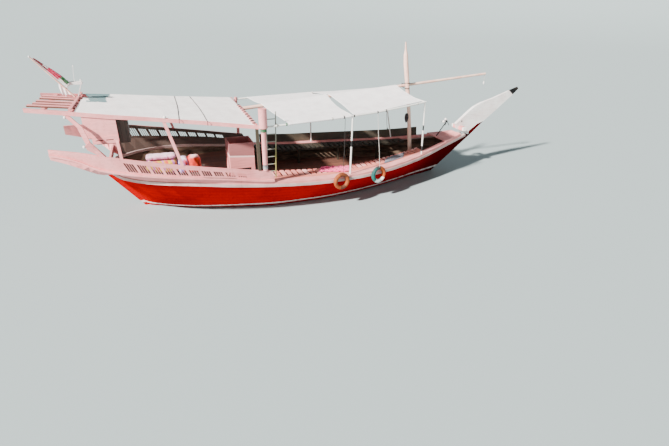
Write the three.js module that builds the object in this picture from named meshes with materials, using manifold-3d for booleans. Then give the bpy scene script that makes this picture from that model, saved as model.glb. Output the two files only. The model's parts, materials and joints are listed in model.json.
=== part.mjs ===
// A small wooden passenger dhow, afloat, with a roof aft and a cloth canopy forward.
// Millimetres. +X is the bow, +Y is port, +Z is up. The origin is on the centreline at the
// waterline, amidships. Every piece is a closed body that clears its neighbours by about 0.3 mm.

import * as THREE from 'three';
import { mergeVertices } from 'three/addons/utils/BufferGeometryUtils.js';
import Module from 'manifold-3d';

const wasm = await Module();
wasm.setup();

// Driving dimensions
const GAP = 0.3;
const WALL = 90; // planking and frames together
const WALE_HIGH = 90;
const BOARD_THICK = 70; // covering board
const BULWARK_THICK = 70;
const KEEL_HALF = 70;
const KEEL_BOTTOM = -920;
const HOLD_FLOOR = -420;
const POST_DEEP = 130; // sternpost, fore and aft
const FORE_DECK = 460;
const AFT_DECK = 1000;
const DECK_THICK = 40;
const BREAK_X = -1800; // where the aft deck ends
const ROOF_FRONT = { x: -2000, z: 2980 };
const ROOF_SLOPE = 0.1066; // rise for each millimetre aft
const BEAM = { wide: 90, high: 110 };
const PIPE_R = 30;
const CLOTH_THICK = 10;
const SIDES = { starboard: -1, port: 1 };

const colours = {
  pink: 0xe9c3c0, red: 0xb01a22, white: 0xf0eeea, wale: 0xb9b2ae, canvas: 0xf2efec, timber: 0xc9795f,
  shade: 0x4a342c, cream: 0xe6c9a8, dark: 0x1c1c1e, steel: 0x9a9da0, brass: 0xb08d3e, teal: 0x1f8a86,
  orange: 0xd9641e, flag: 0xd4145a, cushion: 0xe88fb4,
};

const group = new THREE.Group();

function add(name, geometry, colour, roughness = 0.7, metalness = 0) {
  const material = new THREE.MeshStandardMaterial({ color: colours[colour], roughness, metalness });
  const mesh = new THREE.Mesh(geometry, material);
  mesh.name = name;
  group.add(mesh);
  return mesh;
}

// Solids for cutting and joining

function solid(geometry) {
  const bare = geometry.clone();
  bare.deleteAttribute('normal');
  bare.deleteAttribute('uv');
  const merged = mergeVertices(bare, 0.001);
  return new wasm.Manifold(new wasm.Mesh({
    numProp: 3,
    vertProperties: new Float32Array(merged.attributes.position.array),
    triVerts: new Uint32Array(merged.index.array),
  }));
}

function surface(body) {
  const mesh = body.getMesh();
  const geometry = new THREE.BufferGeometry();
  geometry.setAttribute('position', new THREE.BufferAttribute(new Float32Array(mesh.vertProperties), 3));
  geometry.setIndex(new THREE.BufferAttribute(new Uint32Array(mesh.triVerts), 1));
  geometry.computeVertexNormals();
  return geometry;
}

function join(geometries) {
  return surface(geometries.map(solid).reduce((whole, next) => whole.add(next)));
}

function cut(geometry, ...tools) {
  return surface(tools.map(solid).reduce((whole, tool) => whole.subtract(tool), solid(geometry)));
}

function common(first, second) {
  return surface(solid(first).intersect(solid(second)));
}

// A body through rings of points that all have the same count; the ends are flat caps.
function loft(rings, caps = capFaces) {
  const count = rings[0].length;
  const points = rings.flat();
  const faces = [];
  for (let i = 0; i + 1 < rings.length; i += 1) {
    for (let j = 0; j < count; j += 1) {
      const a = i * count + j;
      const b = i * count + ((j + 1) % count);
      faces.push(a, b, a + count, b, b + count, a + count);
    }
  }
  caps(rings[0]).forEach(([a, b, c]) => faces.push(a, c, b));
  const last = (rings.length - 1) * count;
  caps(rings[rings.length - 1]).forEach(([a, b, c]) => faces.push(last + a, last + b, last + c));
  const geometry = new THREE.BufferGeometry();
  geometry.setAttribute('position', new THREE.Float32BufferAttribute(points.flatMap((p) => [p.x, p.y, p.z]), 3));
  geometry.setIndex(faces);
  if (volumeOf(geometry) < 0) {
    geometry.setIndex(geometry.index.array.reduce((all, v, k, list) => {
      if (k % 3 === 0) all.push(list[k], list[k + 2], list[k + 1]);
      return all;
    }, []));
  }
  geometry.computeVertexNormals();
  return geometry;
}

// Triangles of one ring, found in the plane that it faces, wound as the ring is.
function capFaces(ring) {
  const normal = new THREE.Vector3();
  ring.forEach((p, i) => normal.add(new THREE.Vector3().crossVectors(p, ring[(i + 1) % ring.length])));
  normal.normalize();
  const right = new THREE.Vector3(0, 0, 1);
  if (Math.abs(normal.z) > 0.9) right.set(1, 0, 0);
  right.addScaledVector(normal, -right.dot(normal)).normalize();
  const up = new THREE.Vector3().crossVectors(normal, right);
  return THREE.ShapeUtils.triangulateShape(ring.map((p) => new THREE.Vector2(p.dot(right), p.dot(up))), []);
}

// Triangles of a ring whose two halves mirror each other, as a strip between the halves.
function mirrorFaces(ring) {
  const last = ring.length - 1;
  return spread(0, ring.length / 2 - 2, ring.length / 2 - 2)
    .flatMap((j) => [[j, j + 1, last - j - 1], [j, last - j - 1, last - j]]);
}

function volumeOf(geometry) {
  const at = geometry.attributes.position;
  const index = geometry.index.array;
  const [a, b, c] = [new THREE.Vector3(), new THREE.Vector3(), new THREE.Vector3()];
  let volume = 0;
  for (let i = 0; i < index.length; i += 3) {
    a.fromBufferAttribute(at, index[i]);
    b.fromBufferAttribute(at, index[i + 1]);
    c.fromBufferAttribute(at, index[i + 2]);
    volume += a.dot(b.cross(c)) / 6;
  }
  return volume;
}

const point = (x, y, z) => new THREE.Vector3(x, y, z);

function block(x0, x1, y0, y1, z0, z1) {
  return new THREE.BoxGeometry(x1 - x0, y1 - y0, z1 - z0)
    .translate((x0 + x1) / 2, (y0 + y1) / 2, (z0 + z1) / 2);
}

// A tapered round pole between two points.
function pole(from, to, radiusFrom, radiusTo = radiusFrom, sides = 12) {
  const along = to.clone().sub(from);
  const turn = new THREE.Quaternion().setFromUnitVectors(point(0, 1, 0), along.clone().normalize());
  const geometry = new THREE.CylinderGeometry(radiusTo, radiusFrom, along.length(), sides);
  geometry.applyQuaternion(turn);
  const middle = from.clone().add(to).multiplyScalar(0.5);
  return geometry.translate(middle.x, middle.y, middle.z);
}

// A straight timber between two points, its width level and its height square to both.
function timber(from, to, wide, high) {
  const along = to.clone().sub(from);
  const x = along.clone().normalize();
  const y = point(-x.y, x.x, 0).normalize();
  const z = new THREE.Vector3().crossVectors(x, y);
  const geometry = new THREE.BoxGeometry(along.length(), wide, high);
  geometry.applyMatrix4(new THREE.Matrix4().makeBasis(x, y, z));
  const middle = from.clone().add(to).multiplyScalar(0.5);
  return geometry.translate(middle.x, middle.y, middle.z);
}

// A flat outline in the plane of x and z, as a plate across y.
function plate(outline, y0, y1) {
  return loft([y0, y1].map((y) => outline.map(([x, z]) => point(x, y, z))));
}

// A smooth curve through a column of values that never overshoots them.
function curve(keys, values) {
  const slopes = keys.slice(1).map((key, i) => (values[i + 1] - values[i]) / (key - keys[i]));
  const tangents = keys.map((key, i) => {
    if (i === 0) return slopes[0];
    if (i === keys.length - 1) return slopes[i - 1];
    const [before, after] = [slopes[i - 1], slopes[i]];
    return before * after <= 0 ? 0 : (2 * before * after) / (before + after);
  });
  return (key) => {
    let i = keys.findIndex((next) => next > key) - 1;
    if (i < 0) i = key < keys[0] ? 0 : keys.length - 2;
    const span = keys[i + 1] - keys[i];
    const t = (key - keys[i]) / span;
    return values[i] * (1 + 2 * t) * (1 - t) ** 2 + values[i + 1] * t * t * (3 - 2 * t)
      + span * (tangents[i] * t * (1 - t) ** 2 - tangents[i + 1] * t * t * (1 - t));
  };
}

// Corners of an upright rectangle as [y, z].
const rect = (y0, y1, low, high) => [[y0, low], [y1, low], [y1, high], [y0, high]];

const spread = (from, to, count) => Array.from({ length: count + 1 }, (_, i) => from + ((to - from) * i) / count);

// Hull form, from the sternpost (s = 0) to the stem (s = 1).
// Columns: s, half-breadth at the sheer, half-breadth at the waterline, sheer height, rabbet height.
const hullTable = [
  [0.000, 80, 80, 1450, -80],
  [0.020, 700, 180, 1440, -95],
  [0.042, 1300, 280, 1415, -110],
  [0.090, 1850, 560, 1385, -160],
  [0.158, 2200, 900, 1335, -260],
  [0.280, 2420, 1300, 1150, -510],
  [0.385, 2440, 1530, 1010, -660],
  [0.504, 2380, 1530, 920, -720],
  [0.588, 2260, 1410, 915, -730],
  [0.679, 2000, 1200, 935, -730],
  [0.790, 1480, 830, 1015, -720],
  [0.906, 720, 380, 1225, -620],
  [1.000, 75, 75, 1440, -420],
];
const column = (index) => curve(hullTable.map((row) => row[0]), hullTable.map((row) => row[index]));
const [sheerHalf, waterHalf, sheerZ, rabbetZ] = [1, 2, 3, 4].map(column);
const sternX = (z) => -5505 - 0.807 * z;
const stemX = (z) => 5715 + 1.24 * z - (z < 0 ? 0.0009 * z * z : 0);
const hullX = (s, z) => sternX(z) + (stemX(z) - sternX(z)) * s;

// A point on the planking at station s, at the share h of the height from rabbet to sheer.
function hullPoint(s, h, inset = 0) {
  const [low, high] = [rabbetZ(s), sheerZ(s)];
  const shareAfloat = -low / (high - low);
  const power = Math.log(waterHalf(s) / (sheerHalf(s) + 0.001)) / Math.log(shareAfloat);
  const z = low + (high - low) * h;
  const y = KEEL_HALF + (sheerHalf(s) - KEEL_HALF) * h ** Math.max(power, 0.001);
  return point(hullX(s, z), y - inset, z);
}

// The lowest share h where the inside is still wide enough to be hollow.
function hollowFrom(s, inset) {
  const power = Math.log(waterHalf(s) / sheerHalf(s)) / Math.log(-rabbetZ(s) / (sheerZ(s) - rabbetZ(s)));
  const narrow = ((inset + 60 - KEEL_HALF) / (sheerHalf(s) - KEEL_HALF)) ** (1 / power);
  const floor = Math.max(HOLD_FLOOR - rabbetZ(s), 200) / (sheerZ(s) - rabbetZ(s));
  return Math.max(narrow, floor);
}

const levels = spread(0, 1, 9).map((t) => t ** 1.6); // closer together near the keel
function hullBody(stations, lowest, highest, inset) {
  return loft(stations.map((s) => {
    const low = lowest(s);
    const side = levels.map((t) => hullPoint(s, low + (highest(s) - low) * t, inset));
    return [...side.map((p) => point(p.x, -p.y, p.z)).reverse(), ...side];
  }), mirrorFaces);
}

const midStations = [0.03, 0.042, 0.065, 0.09, 0.13, 0.17, 0.21, 0.25, 0.29, 0.33, 0.3555, 0.4, 0.45,
  0.5, 0.55, 0.6, 0.65, 0.7, 0.75, 0.8, 0.84, 0.88, 0.91, 0.94, 0.965];
const outerStations = [0, 0.01, 0.02, ...midStations, 0.985, 1];
const innerStations = [0.022, ...midStations, 0.98];
const breakStation = 0.3555; // where the raised bulwark ends and the covering board begins
const aboveSheer = (s) => 1 + 80 / (sheerZ(s) - rabbetZ(s));
const inside = (inset) => hullBody(innerStations, (s) => hollowFrom(s, inset), aboveSheer, inset);

// Rudder under the counter: its stock turns in the hull's bottom and in the skeg below.
const rudder = { x: -5250, stockR: 25, boreR: 27, top: 50, heel: -860 }; // rests on its heel
const rudderBore = (z0, z1) => pole(point(rudder.x, 0, z0), point(rudder.x, 0, z1), rudder.boreR, rudder.boreR, 16);

add('hull', cut(hullBody(outerStations, () => 0, () => 1, 0), inside(WALL), rudderBore(-200, rudder.top + 10)), 'red', 0.45);

// Keel with the deadwood and the skeg, the propeller's aperture between them, and the bores

const propeller = { x: -4850, z: -490, r: 260, hubR: 60, shaftR: 25 };
const apertureX = -4640;
const aperture = { low: -800, high: -185 };
const rabbetLine = outerStations.slice(1).map((s) => [hullX(s, rabbetZ(s)), rabbetZ(s) - GAP]);
const keelOutline = [
  [sternX(-80 - 2 * GAP) + GAP, -80 - 2 * GAP],
  ...rabbetLine,
  [stemX(-420) - 30, -470],
  [4700, -700], [4450, -800], [3900, -890], [3500, KEEL_BOTTOM],
  [-5380, KEEL_BOTTOM], [-5450, -870], [-5450, aperture.low], [apertureX, aperture.low],
  [apertureX, aperture.high], [sternX(aperture.high) + GAP, aperture.high],
];
const sternTube = pole(point(apertureX - 100, 0, propeller.z), point(apertureX + 260, 0, propeller.z), 26, 26, 16);
add('keel', cut(
  plate(keelOutline, -KEEL_HALF, KEEL_HALF),
  rudderBore(-200, -50),
  rudderBore(rudder.heel - 2 * GAP, aperture.low + 20),
  sternTube,
), 'red', 0.5);

// Sternpost, from the aperture's top to a head above the sheer

const postTop = 1740;
add('sternpost', plate([
  [sternX(aperture.high), aperture.high], [sternX(postTop), postTop],
  [sternX(postTop) - POST_DEEP, postTop], [sternX(aperture.high) - POST_DEEP, aperture.high],
], -75, 75), 'red', 0.5);

// Rudder: a blade on a round stock

add('rudder', join([
  plate([[-5150, -225], [-5160, -775], [-5560, -775], [-5620, -225]], -35, 35),
  pole(point(rudder.x, 0, rudder.heel), point(rudder.x, 0, rudder.top), rudder.stockR, rudder.stockR, 16),
]), 'red', 0.5);

// Propeller: hub, shaft into the stern tube and three blades

function bladeAt(angle) {
  const [root, tip] = [propeller.hubR - 15, propeller.r];
  const ring = (radius, chord, pitch) => [[-1, -1], [1, -1], [1, 1], [-1, 1]].map(([u, v]) => point(
    u * chord * Math.sin(pitch) * 0.5 + v * 6 * Math.cos(pitch),
    u * chord * Math.cos(pitch) * 0.5 - v * 6 * Math.sin(pitch),
    radius,
  ));
  const geometry = loft([ring(root, 80, 0.9), ring(root + 70, 170, 0.65), ring(tip - 60, 180, 0.5), ring(tip, 70, 0.42)]);
  return geometry.rotateX(angle);
}
const blades = [0, 1, 2].map((i) => bladeAt((i * 2 * Math.PI) / 3));
const hub = pole(point(-60, 0, 0), point(60, 0, 0), propeller.hubR * 0.7, propeller.hubR, 16);
const shaft = pole(point(0, 0, 0), point(apertureX + 150 - propeller.x, 0, 0), propeller.shaftR, propeller.shaftR, 16);
const propellerMesh = add('propeller', join([hub, shaft, ...blades]), 'brass', 0.35, 0.9);
propellerMesh.position.set(propeller.x, 0, propeller.z);

// Stem timber below the sheer, and the long stem head above it

const stemBand = levels.map((t) => {
  const z = -420 + (1440 + 420) * t;
  return [stemX(z) + GAP, z];
});
// The stem's top runs on forward as a red wedge under the head.
const headSeat = [[7510, 1580], [7910, 1860], [8190, 1950]];
add('stem', plate([
  ...stemBand,
  ...headSeat,
  [stemX(1440) + 110, 1440],
  ...stemBand.slice(1, -1).reverse().map(([x, z]) => [x + 110, z]),
  [stemX(-420) + 60, -420],
], -70, 70), 'red', 0.5);

const headFoot = { x: stemX(1440), z: 1440 };
const bitt = { x0: 6960, x1: 7110, half: 420, z0: 1690, z1: 1830 };
add('bitt_beam', block(bitt.x0, bitt.x1, -bitt.half, bitt.half, bitt.z0, bitt.z1), 'pink', 0.6);
add('stem_head', cut(loft([-1, 1].map((side) => [
  [headFoot.x - 560, 1680, 75], [headFoot.x - 60, 1440 + GAP, 75], [headFoot.x - 2 * GAP, 1440 + GAP, 75],
  ...headSeat.map(([x, z], i) => [x - (i === 0 ? 2 : 0) * GAP, z + 2 * GAP, 74 - 2 * i]),
  [8750, 2360, 55], [9550, 2990, 35],
  [9330, 3160, 35], [8550, 2890, 50], [7940, 2720, 60], [7630, 2580, 66], [7380, 2400, 70], [6810, 1920, 75],
].map(([x, z, half]) => point(x, side * half, z)))), block(
  bitt.x0 - GAP, bitt.x1 + GAP, -bitt.half, bitt.half, bitt.z0 - GAP, bitt.z1 + GAP,
)), 'white', 0.5);
add('stem_tip', loft([-1, 1].map((side) => [
  [9550 + GAP, 2990 + GAP], [9800, 3220], [9750, 3290], [9330 + GAP, 3160 + GAP],
].map(([x, z]) => point(x, side * 35, z)))), 'dark', 0.6);

// Strips that follow the sheer: each section is a list of (outward, up) from the sheer's edge.

const sheerAt = (s) => point(hullX(s, sheerZ(s)), sheerHalf(s), sheerZ(s));
function outwardAt(s) {
  const before = sheerAt(Math.max(s - 0.004, 0));
  const after = sheerAt(Math.min(s + 0.004, 1));
  return point(before.y - after.y, after.x - before.x, 0).normalize();
}
function alongSheer(side, stations, section) {
  return loft(stations.map((s, i) => {
    const edge = sheerAt(s);
    const lean = Math.max(outwardAt(s).y, 0.35);
    return section(s).map(([out, up]) => point(
      edge.x + (i === 0 ? GAP : 0),
      side * Math.max(edge.y + out / lean, 15),
      edge.z + up,
    ));
  }));
}
function stationAt(x) {
  let [low, high] = [0, 1];
  for (let i = 0; i < 40; i += 1) {
    const middle = (low + high) / 2;
    if (sheerAt(middle).x < x) low = middle; else high = middle;
  }
  return (low + high) / 2;
}

const waleStations = outerStations.filter((s) => s > 0.015 && s < 0.99);
const foreStations = outerStations.filter((s) => s >= breakStation && s < 0.97);
const waleSection = () => [[-WALL, GAP], [55, GAP], [55, WALE_HIGH], [-WALL, WALE_HIGH]];
const boardTop = WALE_HIGH + BOARD_THICK;
const boardWidth = curve([-1600, 3000, 7100], [330, 300, 110]);
const boardSection = (s) => {
  const inner = -boardWidth(sheerAt(s).x);
  return [[inner, WALE_HIGH + GAP], [25, WALE_HIGH + GAP], [25, boardTop], [inner, boardTop]];
};

Object.entries(SIDES).forEach(([name, side]) => {
  add(`wale_${name}`, alongSheer(side, waleStations, waleSection), 'wale', 0.7);
  add(`covering_board_${name}`, alongSheer(side, foreStations, boardSection), 'pink', 0.6);
});

// Aft bulwarks with their windows, running out aft as two tails.
// Columns: x, y and z of the top edge; y and z of the ledge; y and z of the lower edge.
const bulwarkTable = [
  [-7810, 1500, 2560, 1500, 2420, 1500, 2270],
  [-7400, 1680, 2530, 1620, 2330, 1600, 2130],
  [-7010, 1830, 2490, 1740, 2190, 1700, 1960],
  [-6700, 1960, 2450, 1850, 2040, 1560, 1740],
  [-6450, 2050, 2400, 1920, 1945, 1250, 1570],
  [-5860, 2200, 2300, 2080, 1840, null, null],
  [-5320, 2300, 2200, 2220, 1770, null, null],
  [-4300, 2400, 2010, 2370, 1640, null, null],
  [-3120, 2450, 1810, 2440, 1500, null, null],
  [-1980, 2455, 1620, 2450, 1310, null, null],
  [-1720, 2455, 1590, 2450, 1280, null, null],
  [-1600, 2450, 1400, 2440, 1270, null, null],
];
const windows = { count: 10, from: -5730, to: -2620, long: 270, bars: 3, barWide: 17, slant: 0.4 };

function bulwarkColumn(index) {
  return curve(bulwarkTable.map((row) => row[0]), bulwarkTable.map((row) => row[index]));
}
const [topY, topZ, ledgeY, ledgeZ] = [1, 2, 3, 4].map(bulwarkColumn);
const tailRows = bulwarkTable.filter((row) => row[5] !== null);
const tailFoot = [5, 6].map((index) => curve(tailRows.map((row) => row[0]), tailRows.map((row) => row[index])));
function footAt(x) {
  if (x < -6400) return tailFoot.map((foot) => foot(x));
  const edge = sheerAt(stationAt(x));
  return [edge.y + 20, onLine(waleXs, (at) => sheerAt(stationAt(at)).z, x) + WALE_HIGH + GAP];
}

// Value on the straight line between the stations on either side of x.
function onLine(xs, valueOf, x) {
  const next = xs.findIndex((at) => at >= x);
  const i = next < 0 ? xs.length - 1 : Math.max(next, 1);
  const [a, b] = [xs[i - 1], xs[i]];
  return valueOf(a) + ((valueOf(b) - valueOf(a)) * (x - a)) / (b - a);
}
const waleXs = waleStations.map((s) => sheerAt(s).x);
const cornerFoot = [-2010, -1715]; // a straight length of the top edge, where the corner post stands
const bulwarkStations = [
  -7810, -7600, -7400, -7200, -7010, -6850, -6700, -6550,
  ...outerStations.filter((s) => s >= 0.03 && s <= breakStation).map((s) => sheerAt(s).x)
    .filter((x) => x < cornerFoot[0] || x > cornerFoot[1]),
  ...cornerFoot,
].sort((a, b) => a - b);
const bulwarkTopAt = (x) => onLine(bulwarkStations, topZ, x) + GAP;
const boardXs = foreStations.map((s) => sheerAt(s).x);
const boardTopAt = (x) => onLine(boardXs, (at) => sheerAt(stationAt(at)).z + boardTop, x) + GAP;

function bulwarkBody(side) {
  return loft(bulwarkStations.map((x) => {
    const [footY, footZ] = footAt(x);
    return [
      [topY(x), topZ(x)], [ledgeY(x) + 10, ledgeZ(x) + 12], [ledgeY(x) + 55, ledgeZ(x) + 8],
      [ledgeY(x) + 55, ledgeZ(x) - 45], [ledgeY(x) + 5, ledgeZ(x) - 55], [footY, footZ],
      [footY - BULWARK_THICK, footZ], [ledgeY(x) - BULWARK_THICK, ledgeZ(x)], [topY(x) - BULWARK_THICK, topZ(x)],
    ].map(([y, z]) => point(x, side * y, z));
  }));
}
function windowCuts(side) {
  const pitch = (windows.to - windows.from) / (windows.count - 1);
  const across = side > 0 ? [1500, 2600] : [-2600, -1500];
  return spread(0, windows.count - 1, windows.count - 1).map((i) => {
    const x = windows.from + pitch * i;
    const [low, high] = [(at) => ledgeZ(at) + 60, (at) => topZ(at) - 110];
    const lean = (windows.slant * (high(x) - low(x))) / 2;
    const slot = (x0, x1, over) => plate([
      [x0 + lean, low(x0) - over], [x1 + lean, low(x1) - over],
      [x1 - lean, high(x1) + over], [x0 - lean, high(x0) + over],
    ], ...across);
    const pane = windows.long / (windows.bars + 1);
    return spread(0, windows.bars, windows.bars).map((k) => {
      const from = x - windows.long / 2 + pane * k;
      return slot(from + windows.barWide / 2, from + pane - windows.barWide / 2, 0);
    });
  }).flat();
}
Object.entries(SIDES).forEach(([name, side]) => {
  add(`aft_bulwark_${name}`, cut(bulwarkBody(side), ...windowCuts(side)), 'pink', 0.6);
});

// Decks and the bulkhead between them, trimmed to the inside of the hull

const lining = inside(WALL + 2 * GAP);
add('fore_deck', common(lining, block(BREAK_X + GAP, 5950, -3000, 3000, FORE_DECK - DECK_THICK, FORE_DECK)), 'timber', 0.75);
add('aft_deck', common(lining, block(-6100, BREAK_X, -3000, 3000, AFT_DECK - DECK_THICK, AFT_DECK)), 'timber', 0.75);
add('deck_bulkhead', common(
  lining,
  block(BREAK_X + GAP, BREAK_X + 50, -3000, 3000, FORE_DECK + GAP, AFT_DECK),
), 'shade', 0.8);

// Bow deck, bitt beam and the transom board between the tails

const bowDeckXs = [5950, ...boardXs.filter((x) => x > 5960 && x < 6890), 6900];
const bowDeckThick = 45;
add('bow_deck', loft(bowDeckXs.map((x) => {
  const half = sheerAt(stationAt(x)).y + 15;
  const [low, high] = [boardTopAt(x), boardTopAt(x) + bowDeckThick];
  return rect(-half, half, low, high).map(([y, z]) => point(x, y, z));
})), 'pink', 0.6);

// The room between the two bulwarks at the stern
const roomXs = bulwarkStations.filter((x) => x > -6800 && x < -6100);
const roomHalf = (side) => loft(roomXs.map((x) => {
  const [footY, footZ] = footAt(x);
  const inner = [[footY, footZ], [ledgeY(x), ledgeZ(x)], [topY(x), topZ(x)]]
    .map(([y, z]) => [y - BULWARK_THICK - 3 * GAP, z]);
  return [[-20, footZ], ...inner, [-20, topZ(x)]].map(([y, z]) => point(x, side * y, z));
}));
const betweenBulwarks = join([roomHalf(-1), roomHalf(1)]);
add('transom_board', common(betweenBulwarks, block(-6470, -6410, -2500, 2500, 1400, 1790)), 'pink', 0.6);

// Engine in the hold

add('engine', block(-1460, -560, -330, 330, HOLD_FLOOR + GAP, 370), 'steel', 0.5, 0.6);

// Slatted side decks along the inside of the fore part

const slats = { from: -1745, to: 4700, pitch: 205, long: 130, thick: 30, below: 8 };
const sideDeckTop = (x) => boardTopAt(x) - slats.below;
const edgePlank = 250; // lengthwise plank between the slats and the covering board
const besideBoard = 8; // room between the plank and the covering board
const boardInner = foreStations.map((s) => sheerAt(s).y - (boardWidth(sheerAt(s).x) + besideBoard) / outwardAt(s).y);
const sideDeckOuter = (x) => onLine(boardXs, (at) => boardInner[boardXs.indexOf(at)], x);
const sideDeckInner = curve([-1600, 1500, 3200, 4800], [1280, 1240, 900, 480]);
function hullPointAt(x, z) {
  let [low, high] = [0, 1];
  for (let i = 0; i < 40; i += 1) {
    const middle = (low + high) / 2;
    if (hullX(middle, z) < x) low = middle; else high = middle;
  }
  const s = (low + high) / 2;
  return hullPoint(s, (z - rabbetZ(s)) / (sheerZ(s) - rabbetZ(s)));
}
function sideDeck(side) {
  const count = Math.floor((slats.to - slats.from) / slats.pitch);
  const ring = (at, inner, outer, low, high) => [[inner, low], [outer, low], [outer, high], [inner, high]]
    .map(([y, down]) => point(at, side * y, sideDeckTop(at) - down));
  const boards = spread(0, count, count).map((i) => {
    const x = slats.from + slats.pitch * i;
    return loft([x, x + slats.long].map((at) => ring(
      at, sideDeckInner(at), sideDeckOuter(at) - edgePlank + 5, slats.thick, 1,
    )));
  });
  const last = slats.from + slats.pitch * count + slats.long;
  const stations = [slats.from, ...boardXs.filter((x) => x > slats.from + 20 && x < last - 20), last];
  const plank = loft(stations.map((x) => ring(x, sideDeckOuter(x) - edgePlank, sideDeckOuter(x), slats.thick, 0)));
  const bearers = [
    (x) => sideDeckInner(x) + 30,
    (x) => sideDeckOuter(x) - edgePlank - 40,
  ].map((yOf) => loft(stations.map((x) => ring(x, yOf(x), yOf(x) + 60, 90, slats.thick - 1))));
  const legs = [-1600, 300, 2000, 3600].map((x) => {
    const y = sideDeckInner(x) + 60;
    return block(x, x + 70, side * y - 28, side * y + 28, FORE_DECK + GAP, sideDeckTop(x) - 60);
  });
  return join([...boards, plank, ...bearers, ...legs]);
}
Object.entries(SIDES).forEach(([name, side]) => add(`side_deck_${name}`, sideDeck(side), 'timber', 0.8));

// Aft roof: side beams that draw together aft, cross beams, and the slats that run out aft

const roofZ = (x) => ROOF_FRONT.z + ROOF_SLOPE * (ROOF_FRONT.x - x); // middle of the side beams
const roofHalf = curve(
  [-8190, -7520, -6870, -6040, -5000, -3650, -2000],
  [1280, 1400, 1530, 1700, 1830, 2060, 2420],
);
const roofStations = [-8180, -7850, -7520, -7200, -6870, -6450, -6040, -5500, -5000, -4600, -4150, -3650,
  -3200, -2800, -2400, ROOF_FRONT.x];
const crossBeams = [-2060, -3400, -4630, -5900, -7060, -7750];
const rackSlats = { wide: 210, high: 45, from: -6960 };
// Columns: y of the middle, x of the aft end.
const slatRows = [[-890, -8150], [-540, -8070], [-160, -8050], [330, -8040], [660, -8030]];
const onRoof = (stations, section) => loft(stations.map((x) => section(x).map(([y, up]) => point(x, y, roofZ(x) + up))));
const beamMiddle = (x) => roofHalf(x) - BEAM.wide / 2;
add('aft_roof_frame', join([
  ...[-1, 1].map((side) => onRoof(roofStations, (x) => rect(
    side * roofHalf(x), side * (roofHalf(x) - BEAM.wide), -BEAM.high / 2, BEAM.high / 2,
  ))),
  ...crossBeams.map((x) => onRoof([x - 45, x + 45], () => rect(-roofHalf(x) + 20, roofHalf(x) - 20, -40, 40))),
  ...slatRows.map(([y, aft]) => onRoof([aft, rackSlats.from], () => rect(
    y - rackSlats.wide / 2, y + rackSlats.wide / 2, 39, 39 + rackSlats.high,
  ))),
  onRoof([-7085, -7015], () => rect(-roofHalf(-7050) + 20, roofHalf(-7050) - 20, 83, 120)),
]), 'pink', 0.6);

const awning = { from: -6930, to: -2080, crown: 40 };
const awningRows = spread(-1, 1, 8);
add('aft_awning', loft(spread(awning.from, awning.to, 10).map((x) => {
  const half = roofHalf(x) - 120;
  const high = (v) => roofZ(x) + 40 + GAP + awning.crown * (1 - v * v);
  return [
    ...awningRows.map((v) => point(x, v * half, high(v))),
    ...awningRows.slice().reverse().map((v) => point(x, v * half, high(v) + CLOTH_THICK)),
  ];
}), mirrorFaces), 'canvas', 0.85);

// Struts and posts under the aft roof

const roofUnder = (x) => roofZ(x) - BEAM.high / 2 - GAP;
const corners = [[-1, -1], [1, -1], [1, 1], [-1, 1]];
// A square timber through the points [x, y] of a list; zOf gives the height at each of them.
function strut(side, long, wide, places) {
  return loft(places.map(([x, y, zOf]) => corners.map(([u, v]) => {
    const at = x + (u * long) / 2;
    return point(at, side * (y + (v * wide) / 2), zOf(at));
  })));
}
const bulwarkMiddle = (x) => topY(x) - BULWARK_THICK / 2;
Object.entries(SIDES).forEach(([sideName, side]) => {
  add(`mid_strut_${sideName}`, strut(side, 95, 60, [
    [-4320, bulwarkMiddle(-4320), bulwarkTopAt], [-4650, beamMiddle(-4650), roofUnder],
  ]), 'pink', 0.6);
  const bracket = plate([
    [-6790, 2730], [-6760, 2610], [-6490, bulwarkTopAt(-6490)], [-6320, bulwarkTopAt(-6320)],
    [-6540, 2670], [-6660, 2830],
  ], Math.min(side * 1955, side * 2015), Math.max(side * 1955, side * 2015));
  add(`stern_strut_${sideName}`, join([strut(side, 130, 60, [
    [-6400, bulwarkMiddle(-6400), bulwarkTopAt], [-6710, 1950, () => 2790], [-6860, 1700, () => 3190],
    [-7170, beamMiddle(-7170), roofUnder],
  ]), bracket]), 'pink', 0.6);
});

// Stern screens: a panel under the roof's beam, a slotted rail along its foot, and a post

Object.entries(SIDES).forEach(([sideName, side]) => {
  const wall = (stations, thick, lowOf, highOf) => loft(stations.map((x) => rect(
    side * (beamMiddle(x) - thick / 2), side * (beamMiddle(x) + thick / 2), lowOf(x), highOf(x),
  ).map(([y, z]) => point(x, y, z))));
  const railLow = (x) => 2630 + (0.06 * (x + 6640));
  const panel = wall([-6800, -6450, -6100, -5930], 24, (x) => railLow(x) + 190, roofUnder);
  const foot = wall([-6640, -6450, -6100, -5930], 50, railLow, (x) => railLow(x) + 210);
  const slots = [[-6560, -6360], [-6270, -6070]].map(([x0, x1]) => plate(
    [[x0, railLow(x0) + 85], [x1, railLow(x1) + 85], [x1, railLow(x1) + 115], [x0, railLow(x0) + 115]],
    side > 0 ? 1400 : -1900,
    side > 0 ? 1900 : -1400,
  ));
  const leg = strut(side, 80, 40, [
    [-5925, bulwarkMiddle(-5925), bulwarkTopAt], [-5990, beamMiddle(-5990), () => 2740],
  ]);
  add(`stern_screen_${sideName}`, join([cut(join([panel, foot]), ...slots), leg]), 'pink', 0.6);
});

// Plank cupboard under the roof, by the starboard screen
add('stern_cupboard', loft([-6550, -5650].map((x) => rect(-1490, -950, 2600, roofZ(x) - 40 - GAP)
  .map(([y, z]) => point(x, y, z)))), 'shade', 0.8);

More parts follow.
